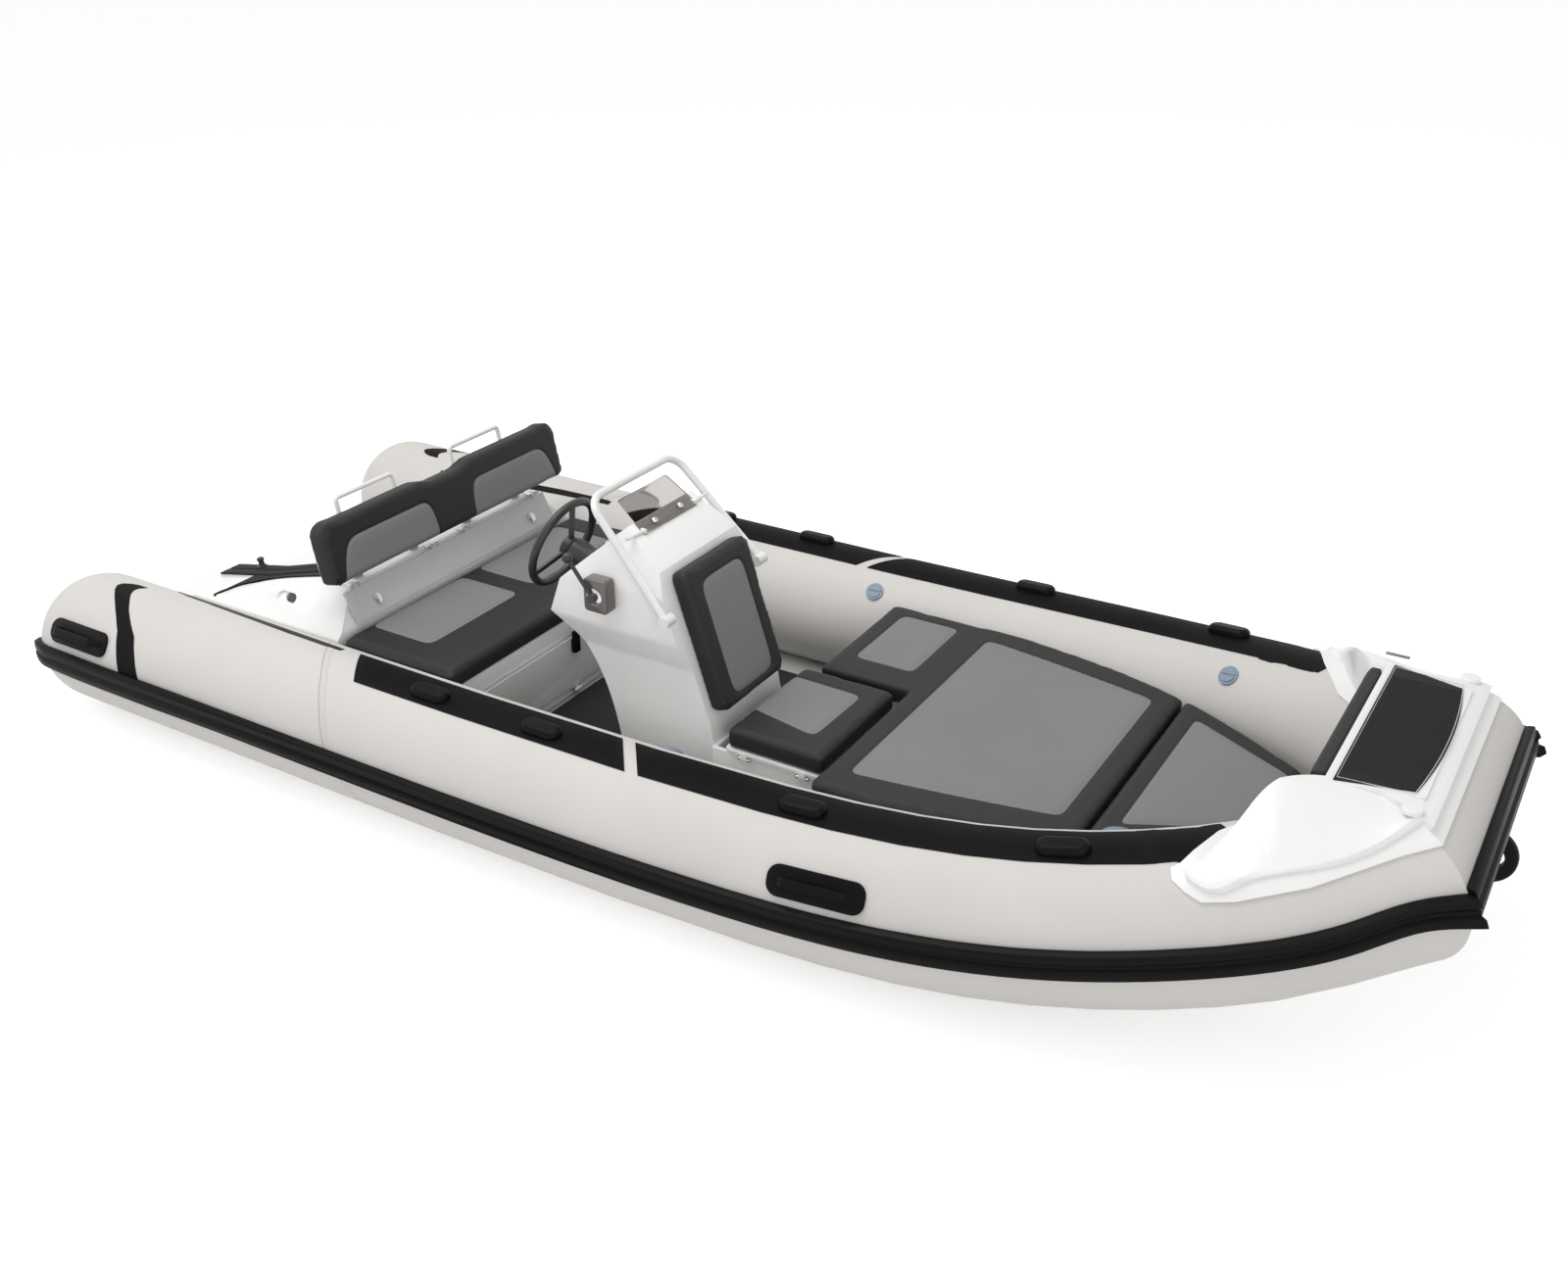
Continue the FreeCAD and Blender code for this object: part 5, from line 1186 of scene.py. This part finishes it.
@dataclass
class Collar:
    """The inflated collar with its rails, patches, handles, valves and seams."""

    seam_rows: tuple[Pair, ...] = (
        (-40.0, -0.76), (12.7, -0.872), (40.2, -0.93), (67.2, -1.001), (94.3, -1.09), (118.0, -1.168))
    seam_width: float = 0.026
    line_width: float = 0.0035
    stripe_rows: tuple[Triple, ...] = (
        (12.5, -1.895, -1.79), (30.0, -1.92, -1.822), (46.0, -1.95, -1.859), (57.0, -1.994, -1.916),
        (67.0, -2.041, -1.965), (76.0, -2.086, -2.003), (84.0, -2.124, -2.036), (90.0, -2.142, -2.05),
        (95.0, -2.138, -2.05), (99.5, -2.11, -2.036), (101.5, -2.08, -2.032))
    # Where the black joint strip lies: x, inner angle and outer angle; the strip is partly a dark edge,
    # partly painted shade.
    edge_and_shade_rows: tuple[Triple, ...] = (
        (-1.955, 119.5, 118.3), (-1.88, 119.8, 113.5), (-1.6, 115.6, 108.0), (-1.32, 111.8, 103.8),
        (-1.12, 109.5, 102.6), (-1.055, 108.6, 103.6))
    tip_start: float = 1.9
    tip_gap: float = 0.0005
    tip_run: float = 0.27
    tip_slant: float = 0.771
    tip_angles: Pair = (107.2, 70.2)
    tip_steps: tuple[int, int] = (18, 8)
    tip_passes: int = 6
    crown_start: float = 1.55
    crown_pitch: float = 0.05
    sheet: float = 0.003
    tape: float = 0.0008
    lift: float = 0.0001
    wrap_step: float = 2.5

    def build(self) -> None:
        """Builds every piece of the collar."""
        for node in ("collar_port", "collar_starboard", "collar_bow"):
            skin(node, COLLAR, angle=40.0)
        for node in ("rub_rail_port", "rub_rail_starboard", "rub_rail_bow"):
            skin(node, RUBBER, bevel=0.0025, angle=20.0)
        skin("wear_patches", PATCH_RUBBER)
        skin("grab_handles", RUBBER, angle=45.0)
        skin("carry_handles", RUBBER, bevel=0.0015, angle=40.0)
        skin("valves", VALVE, angle=30.0)
        skin("bow_towing_eye", RUBBER, angle=40.0)
        for side in Side:
            self.seam(side)
            self.wrap("stern_stripe", self.stripe_rows, side, PATCH_RUBBER)
            # The black strip at the moulding joint, partly painted shade.
            self.edge_and_shade_strip(side)
            self.patch_tip(side)

    def seam(self, side: Side) -> None:
        """The slanted seam tape round the tube, with the fabric's cut edge beside it.

        Args:
            side: The tube.
        """
        tape = [(angle, aft, aft + self.seam_width) for angle, aft in self.seam_rows]
        self.wrap("seam_tape", tape, side, SEAM)
        line = [(angle, aft - self.line_width, aft) for angle, aft in self.seam_rows]
        self.wrap("seam_line", line, side, SEAM_LINE)

    def wrap(self, label: str, rows: tuple | list, side: Side, finish: Finish) -> None:
        """Bonds a strip round the straight part of a tube.

        Args:
            label: The piece's name without its side.
            rows: Angle in degrees, aft end and forward end of each row.
            side: The tube.
            finish: The strip's surface.
        """
        grid = []
        for angle, aft, fore in stepped(rows, lambda turn: max(2, int(turn / self.wrap_step))):
            ends = [aft, (aft + fore) / 2, fore]
            if side is Side.PORT:
                ends.reverse()
            grid.append([on_tube(x, angle, side, self.lift) for x in ends])
        piece = sheet_over(f"{label}_{side.name.lower()}", grid, self.tape)
        dress(piece, finish, "boat")

    def edge_and_shade_strip(self, side: Side) -> None:
        """The black strip laid on the tube where the side moulding meets it: partly a dark edge, partly
        painted shade of the gap between them.

        Args:
            side: The tube.
        """
        grid = []
        for x, inner, outer in stepped(self.edge_and_shade_rows, 8)[:-1]:
            angles = [outer + (inner - outer) * part / 4 for part in range(5)]
            if side is Side.STARBOARD:
                angles.reverse()
            grid.append([on_tube(x, angle, side, self.lift) for angle in angles])
        piece = sheet_over(f"side_edging_{side.name.lower()}", grid, 2 * self.tape)
        # Black rubber on a sheet that is partly painted shade of the joint.
        dress(piece, RUBBER, "boat", angle=50.0)

    def patch_tip(self, side: Side) -> None:
        """The forward end of the wear patch, which runs under the bow step's wing.

        Args:
            side: The tube.
        """
        node = "collar_port" if side is Side.PORT else "collar_starboard"
        tree = surface_tree(node)
        places = [self.crown_start + self.crown_pitch * step for step in range(14)]
        crowns = [(x, crown(tree, x, side)) for x in places]
        offsets = [TUBE_R * math.cos(math.radians(angle)) for angle in self.tip_angles]
        grid = []
        lengths, widths = self.tip_steps
        for step in range(lengths + 1):
            start = self.tip_start + self.tip_gap + self.tip_run * step / lengths
            row = []
            for part in range(widths + 1):
                offset = offsets[0] + (offsets[1] - offsets[0]) * part / widths
                x, y = start - 0.1, 0.7
                for _ in range(self.tip_passes):
                    middle, slope = between(crowns, x)
                    y = middle + offset * math.hypot(1.0, slope)
                    x = start + self.tip_slant * (y - TUBE_Y)
                met, normal = dropped(tree, x, y, side)
                row.append(met + normal * self.lift)
            grid.append(row if side is Side.STARBOARD else row[::-1])
        piece = sheet_over(f"patch_tip_{side.name.lower()}", grid, self.sheet)
        dress(piece, PATCH_RUBBER, "boat")


@dataclass
class Stern:
    """The hull's shell, the transom and the mouldings behind the bench."""

    transom_face: Triple = (-2.19158, 0.0, 0.19563)
    drain_radius: float = 0.019
    drain_place: Pair = (0.09, -0.29)
    staple_place: Pair = (0.42, -0.16)
    staple_size: Pair = (0.03, 0.036)
    staple_wire: float = 0.005
    staple_foot: Triple = (0.03, 0.088, 0.004)
    filler_place: Pair = (-1.8924, -0.3695)
    fitting_place: Pair = (-1.5, 0.576)
    fitting_shape: float = 0.66
    border: tuple[Pair, ...] = (
        (-1.85, 0.645), (-1.836, 0.597), (-1.822, 0.54), (-1.745, 0.487), (-1.642, 0.473), (-1.506, 0.482),
        (-1.4, 0.494), (-1.31, 0.51))
    bead: float = 0.007
    mat_reach: float = 0.45
    strip: float = 0.004
    strip_lift: float = 0.0003

    def build(self) -> None:
        """Builds every piece of the stern and the hull."""
        skin("hull", HULL_PAINT, bevel=0.002, angle=24.0)
        skin("transom", HULL_PAINT, bevel=0.003, angle=30.0)
        skin("deck", DECK_PAINT)
        skin("floor_mat", MAT, bevel=0.0015)
        skin("aft_moulding", WHITE, bevel=0.004, angle=28.0, segments=3)
        skin("stern_mats", MAT, bevel=0.0015)
        # The rear hatch is white gelcoat; its grey is painted shade.
        skin("rear_hatch", WHITE_GELCOAT_PAINTED_SHADE, bevel=0.002)
        skin("hatch_latches", STEEL, bevel=0.0008)
        skin("hinge_brackets", STEEL, bevel=0.0005)
        self.drains()
        self.mat_borders()
        self.fittings()
        screws_on("hinge_brackets", "hinge_screws", 0.0028, 0.3)
        screws_on("backrest_arms", "arm_bolts", 0.005, 0.36)

    def drains(self) -> None:
        """Two drain plugs and two towing eyes on the transom's aft face."""
        normal = Vector((-math.cos(LEAN), 0.0, -math.sin(LEAN)))
        upward = Vector((-math.sin(LEAN), 0.0, math.cos(LEAN)))
        face = Vector(self.transom_face)
        radius = self.drain_radius
        plug = turned("plug", [(0, 0), (radius, 0), (radius, 0.004), (radius * 0.8, 0.006),
                               (radius * 0.55, 0.007), (radius * 0.5, 0.014), (0, 0.0145)], 28)
        middles = [[face + upward * up + Vector((0, sign * y, 0)) for sign in (-1, 1)]
                   for y, up in (self.drain_place, self.staple_place)]
        dress(stamp(plug, [stand(middle, normal) for middle in middles[0]], "drain_plugs"), PLASTIC, "boat")
        bows = []
        half, height = self.staple_size
        for middle in middles[1]:
            arc = []
            for step in range(17):
                turn = math.pi * step / 16
                out = height * math.sin(turn) - 0.001
                arc.append(middle + upward * half * math.cos(turn) + normal * out)
            bows.append(tube("bow", arc, self.staple_wire, sides=4))
            foot = block("foot", self.staple_foot, 0.0015)
            bows.append(settle(foot, stand(middle + normal * 0.0015, normal, Vector((0, 1, 0)))))
        dress(joined(bows, "towing_staples"), STEEL, "boat", angle=40.0)

    def mat_borders(self) -> None:
        """The dark border between the stern mats and the side mouldings."""
        tree = surface_tree("aft_moulding")
        beads, strips = [], []
        lift = Vector((0, 0, self.strip_lift))
        for side in Side:
            path = stepped(self.border, 5)
            spots = [dropped(tree, x, y, side)[0] for x, y in path]
            for _ in range(3):
                inner = [(a + b * 2 + c) / 4 for a, b, c in zip(spots, spots[1:], spots[2:])]
                spots = [spots[0], *inner, spots[-1]]
            beads.append(tube("bead", spots, self.bead, sides=4))
            grid = []
            for x, y in path[2:]:
                ends = [self.mat_reach + (y - self.mat_reach) * part / 3 for part in range(4)]
                grid.append([dropped(tree, x, end, side)[0] + lift for end in ends])
            if side is Side.PORT:
                grid.reverse()
            strips.append(sheet_over("strip", grid, self.strip))
        dress(joined(beads, "mat_border_beads"), RUBBER, "boat", angle=50.0)
        dress(joined(strips, "mat_border_strips"), MAT, "boat")

    def fittings(self) -> None:
        """The small filler on a stern mat and the oval fittings in the side mouldings."""
        origin, normal = surface_point("stern_mats", Vector((*self.filler_place, 0.0)))
        cap = turned("filler_cap", [(0, 0), (0.019, 0), (0.019, 0.004), (0.012, 0.007), (0.011, 0.022),
                                    (0.014, 0.026), (0.014, 0.034), (0.009, 0.038), (0, 0.038)], 24)
        dress(settle(cap, stand(origin, normal)), PLASTIC, "boat")
        rims, wells = [], []
        for side in Side:
            x, y = self.fitting_place
            spot, normal = surface_point("aft_moulding", Vector((x, side.value * y, 0.5)))
            place = stand(spot, normal) @ Matrix.Diagonal((1.0, self.fitting_shape, 1.0, 1.0))
            rim = turned("rim", [(0.021, 0), (0.03, 0), (0.03, 0.0025), (0.025, 0.004), (0.021, 0.0005),
                                 (0.021, 0)], 36)
            rims.append(settle(rim, place))
            well = turned("well", [(0, 0.003), (0.021, 0.003), (0.021, 0), (0, 0)], 36)
            wells.append(settle(well, place))
        dress(joined(rims, "side_fitting_rims"), DARK_STEEL, "boat")
        dress(joined(wells, "side_fitting_wells"), PLASTIC, "boat")


@dataclass
class Bench:
    """The helm bench with its locker, cushions, backrest and rails."""

    def build(self) -> None:
        """Builds every piece of the bench."""
        skin("bench_base", WHITE, bevel=0.003)
        # The bench door is white gelcoat; its grey is painted shade.
        skin("bench_door", WHITE_GELCOAT_PAINTED_SHADE, bevel=0.0015)
        skin("bench_latch", RUBBER, bevel=0.001)
        skin("backrest_board", WHITE, bevel=0.003)
        skin("backrest_arms", STEEL, bevel=0.0015)
        # Stainless rails, white by painted reflection.
        skin("backrest_rails", RAIL_PAINTED_REFLECTION, angle=50.0)
        seat = ((-1.165, 0.045), (-0.885, 0.045), (-0.885, 0.53), (-1.165, 0.53))
        Cushion("bench_cushion", FLAT, (Panel(seat), Panel(mirrored(seat))),
                channels=((0.0, 1.0, 0.0),)).build()
        port = ((0.10, -0.03), (0.60, -0.03), (0.585, 0.06), (0.565, 0.115), (0.53, 0.152), (0.13, 0.152),
                (0.105, 0.115), (0.098, 0.06))
        Cushion("backrest_cushion", BACKREST, (Panel(port, 0.05), Panel(mirrored(port, 0), 0.05)),
                cap=0.008).build()


@dataclass
class Console:
    """The steering console with its seat, screen, rail, wheel and controls."""

    studs: tuple[Triple, ...] = ((-0.0445, -0.3183, 0.0), (-0.0445, -0.1744, 0.0))
    dash_foot: Triple = (-0.302, 0.0, 0.84)
    dash_way: Triple = (0.232, 0.0, 0.206)
    dash_size: Triple = (0.19, 0.34, 0.004)
    dash_up: float = 0.165
    dials: tuple[Triple, ...] = ((-0.35, 0.15, 0.034), (-0.25, 0.155, 0.04), (-0.15, 0.15, 0.034))
    rocker_size: Triple = (0.03, 0.014, 0.008)
    rocker_up: float = 0.085
    rockers: tuple[float, ...] = (-0.37, -0.34, -0.31, -0.19, -0.16, -0.13)
    stub_ends: tuple[Triple, ...] = ((-0.036, 0.146, 1.026), (-0.04, 0.226, 1.026))
    stub_radius: float = 0.006
    clip_size: Triple = (0.022, 0.012, 0.016)
    back_half: float = 0.118

    def build(self) -> None:
        """Builds every piece of the console."""
        skin("console_shell", WHITE, bevel=0.006, angle=20.0, segments=3)
        skin("console_seat_base", WHITE, bevel=0.005, segments=3)
        skin("console_seat_lid", WHITE, bevel=0.003)
        skin("windshield", SCREEN, bevel=0.001)
        # Stainless rail, white by painted reflection.
        skin("console_rail", RAIL_PAINTED_REFLECTION, angle=50.0)
        skin("helm", PLASTIC, bevel=0.0015)
        skin("steering_wheel", PLASTIC, angle=40.0)
        skin("control_box", BROWN_GREY, bevel=0.008, segments=3)
        skin("control_lever", PLASTIC, angle=40.0)
        panel = ((0.304, -0.322), (0.585, -0.377), (0.593, -0.074), (0.306, -0.069))
        Cushion("console_seat_cushion", FLAT, (Panel(panel),)).build()
        half, top = self.back_half, SEATBACK_LENGTH - 0.075
        back = ((-half, 0.055), (half, 0.055), (half, top), (-half, top))
        Cushion("console_back_cushion", SEATBACK, (Panel(back, 0.07),), voxel=0.009).build()
        self.screen_studs()
        self.rail_brackets()
        self.dash()
        self.lever_plate()

    def screen_studs(self) -> None:
        """Two polished studs that hold the screen near its lower edge."""
        stud = turned("stud", [(0, 0), (0.011, 0), (0.0115, 0.003), (0.009, 0.007), (0.005, 0.009),
                               (0, 0.0095)], 24)
        places = [stand(*surface_point("windshield", Vector(spot))) for spot in self.studs]
        dress(stamp(stud, places, "screen_studs"), STEEL, "boat")

    def on_dash(self, y: float, up: float, lift: float) -> Matrix:
        """A frame on the sloping dash.

        Args:
            y: Its place across the boat.
            up: How far up the slope it stands.
            lift: How far it stands off the slope.

        Returns:
            The frame's matrix.
        """
        way = Vector(self.dash_way).normalized()
        normal = Vector((-way.z, 0.0, way.x))
        return stand(Vector(self.dash_foot) + way * up + Vector((0, y, 0)) + normal * lift, normal, way)

    def dash(self) -> None:
        """The dials and switches on the console's sloping dash."""
        plate = block("dash_plate", self.dash_size, 0.0018)
        dress(settle(plate, self.on_dash(CONSOLE_Y, self.dash_up, 0.001)), PLASTIC, "boat")
        rings, faces = [], []
        for y, up, radius in self.dials:
            place = self.on_dash(y, up, 0.003)
            ring = turned("ring", [(radius * 0.85, 0), (radius, 0), (radius, 0.007), (radius * 0.93, 0.009),
                                   (radius * 0.86, 0.006), (radius * 0.85, 0)], 40)
            rings.append(settle(ring, place))
            face = turned("face", [(0, 0.004), (radius * 0.85, 0.0035), (radius * 0.85, 0)], 40)
            faces.append(settle(face, place))
        dress(joined(rings, "dial_rings"), STEEL, "boat")
        dress(joined(faces, "dial_faces"), DIAL, "boat")
        rocker = block("rocker", self.rocker_size, 0.002)
        places = [self.on_dash(y, self.rocker_up, 0.006) for y in self.rockers]
        dress(stamp(rocker, places, "rocker_switches"), RUBBER, "boat")

    def rail_brackets(self) -> None:
        """Short stubs between the screen's corners and the legs of the rail."""
        stubs = []
        for sign in (1, -1):
            ends = [Vector((x, CONSOLE_Y + sign * y, z)) for x, y, z in self.stub_ends]
            stubs.append(tube("stub", ends, self.stub_radius, sides=5))
            clip = block("clip", self.clip_size, 0.003)
            stubs.append(settle(clip, Matrix.Translation(ends[0] + Vector((0, -sign * 0.004, 0)))))
        # Stainless stubs, white by painted reflection.
        dress(joined(stubs, "rail_brackets"), RAIL_PAINTED_REFLECTION, "boat")

    def lever_plate(self) -> None:
        """The round face plate behind the control lever."""
        low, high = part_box("control_box")
        plate = turned("lever_plate", [(0, 0), (0.03, 0), (0.03, 0.003), (0.026, 0.005), (0, 0.005)], 32)
        spot = Vector(((low.x + high.x) / 2, low.y, (low.z + high.z) / 2))
        dress(settle(plate, stand(spot, Vector((0, -1, 0)))), STEEL, "boat")


@dataclass
class Foredeck:
    """The sundeck, the bow step and what is fixed to them."""

    pad_ends: Pair = (2.144, 2.372)
    pad_round: float = 0.026
    pad_half: float = 0.35
    pad_inset: float = 0.012
    rib_pitch: float = 0.0145
    rib_width: float = 0.0095
    rib_height: float = 0.002
    ribs_half: float = 0.30
    border_half: float = 0.335
    border_wire: float = 0.0012
    bar_size: Triple = (0.07, 0.012, 0.006)
    bar_place: Triple = (2.138, 0.437, 0.797)

    def build(self) -> None:
        """Builds every piece forward of the console."""
        skin("sundeck_base", WHITE, bevel=0.003)
        skin("bow_step", WHITE, bevel=0.004, angle=25.0, segments=3)
        skin("bow_step_pad", PAD_RUBBER, bevel=0.0015)
        skin("bow_cleats", WHITE, angle=40.0)
        main = ((0.784, -0.509), (1.05, -0.478), (1.427, -0.398), (1.427, 0.398), (1.05, 0.478),
                (0.784, 0.509))
        wing = ((0.438, 0.16), (0.66, 0.16), (0.66, 0.53), (0.438, 0.53))
        Cushion("sundeck_cushion", FLAT, (Panel(main, 0.05), Panel(wing, 0.05)), voxel=0.013).build()
        fore = ((1.587, -0.348), (1.94, -0.16), (1.94, 0.16), (1.587, 0.348))
        Cushion("bow_deck_cushion", FLAT, (Panel(fore, 0.04),), voxel=0.011).build()
        Cushion("bow_cushion", BOW_BACK, voxel=0.008, cap=0.004, side_cap=0.002).build()
        self.pad_ribs()
        self.pad_border()
        self.step_bar()

    def pad_reach(self, y: float) -> Pair:
        """The pad's aft and forward edges at a place across the boat."""
        aft, fore = self.pad_ends
        return aft + self.pad_inset, fore - self.pad_round * (y / self.pad_half) ** 2 - self.pad_inset

    def pad_ribs(self) -> None:
        """Raised ribs that run fore and aft on the step's pad."""
        _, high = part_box("bow_step_pad")
        count = int(self.ribs_half / self.rib_pitch)
        ribs = []
        for index in range(-count, count + 1):
            y = index * self.rib_pitch
            aft, fore = self.pad_reach(y)
            rib = block("rib", (fore - aft, self.rib_width, self.rib_height), 0.0008, 1)
            ribs.append(settle(rib, Matrix.Translation(((aft + fore) / 2, y, high.z + 0.0006))))
        dress(joined(ribs, "pad_ribs"), PAD_RUBBER, "boat")

    def pad_border(self) -> None:
        """The thin light line round the pad."""
        _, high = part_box("bow_step_pad")
        half = self.border_half
        points = []
        for step in range(25):
            y = -half + 2 * half * step / 24
            points.append(Vector((self.pad_reach(y)[1] + 0.006, y, high.z)))
        points += [Vector((self.pad_ends[0] + 0.006, sign * (half + 0.018), high.z)) for sign in (1, -1)]
        dress(tube("pad_border", points, self.border_wire, closed=True), LIGHT_LINE, "boat", angle=60.0)

    def step_bar(self) -> None:
        """The thin dark bar on the step, to port of the pad."""
        bar = block("step_bar", self.bar_size, 0.002)
        dress(settle(bar, Matrix.Translation(self.bar_place)), DARK_STEEL, "boat")


@dataclass
class Studio:
    """The floor, the light and the camera."""

    azimuth: float = 31.015
    elevation: float = 27.086
    place: Triple = (2.7225, -4.1162, 3.0306)
    lens: float = 36.36
    sensor: float = 36.0
    world: float = 0.5
    floor_size: float = 80.0
    floor_tone: float = 0.86
    floor_glow: float = 0.55
    aim: Triple = (0.2, 0.0, 0.3)
    lamps: tuple[tuple[Triple, float, float], ...] = (
        ((-1.5, -1.0, 7.0), 5.0, 285.0), ((5.5, -5.5, 3.2), 3.5, 105.0), ((-6.0, -3.0, 3.0), 3.0, 40.0))

    def build(self) -> None:
        """Builds the studio."""
        self.floor()
        self.light()
        self.camera()

    def floor(self) -> None:
        """A wide pale floor at the waterline that shows white and keeps the shadow."""
        bpy.ops.mesh.primitive_plane_add(size=self.floor_size)
        floor = bpy.context.object
        floor.name = "floor"
        material, tree, shader = fresh_material("pale_floor")
        shader.inputs["Base Color"].default_value = (*[self.floor_tone] * 3, 1.0)
        shader.inputs["Roughness"].default_value = 0.9
        shader.inputs["Specular IOR Level"].default_value = 0.0
        shader.inputs["Emission Color"].default_value = (1.0, 1.0, 1.0, 1.0)
        glow = math_node(tree, "MULTIPLY", plainly_seen(tree), self.floor_glow)
        tree.links.new(glow, shader.inputs["Emission Strength"])
        floor.data.materials.append(material)

    def light(self) -> None:
        """A soft sky, which shows white, and large lamps."""
        bpy.context.scene.view_settings.view_transform = "Standard"
        world = bpy.data.worlds.new("studio")
        bpy.context.scene.world = world
        world.use_nodes = True
        tree = world.node_tree
        sky = tree.nodes["Background"]
        sky.inputs["Color"].default_value = (1.0, 1.0, 1.0, 1.0)
        extra = math_node(tree, "MULTIPLY", plainly_seen(tree), 1.0 - self.world)
        tree.links.new(math_node(tree, "ADD", extra, self.world), sky.inputs["Strength"])
        for index, (spot, size, power) in enumerate(self.lamps):
            data = bpy.data.lights.new(f"lamp_{index}", "AREA")
            data.size, data.energy = size, power
            lamp = placed(data.name, data)
            lamp.location = spot
            lamp.rotation_euler = (Vector(spot) - Vector(self.aim)).to_track_quat("Z", "Y").to_euler()

    def camera(self) -> None:
        """The camera at the photograph's place and angle."""
        turn, rise = math.radians(self.azimuth), math.radians(self.elevation)
        back = Vector((math.sin(turn) * math.cos(rise), -math.cos(turn) * math.cos(rise), math.sin(rise)))
        right = Vector((math.cos(turn), math.sin(turn), 0.0))
        data = bpy.data.cameras.new("camera")
        data.lens, data.sensor_width, data.sensor_fit = self.lens, self.sensor, "HORIZONTAL"
        camera = placed("camera", data)
        matrix = Matrix((right, back.cross(right), back)).transposed().to_4x4()
        matrix.translation = Vector(self.place)
        camera.matrix_world = matrix
        bpy.context.scene.camera = camera


def main() -> None:
    """Builds the boat's pieces in order."""
    logging.basicConfig(level=logging.INFO, format="%(name)s: %(message)s")
    for group in (Studio(), Collar(), Stern(), Bench(), Console(), Foredeck()):
        LOG.info("building %s", type(group).__name__)
        group.build()
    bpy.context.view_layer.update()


if __name__ == "__main__":
    main()
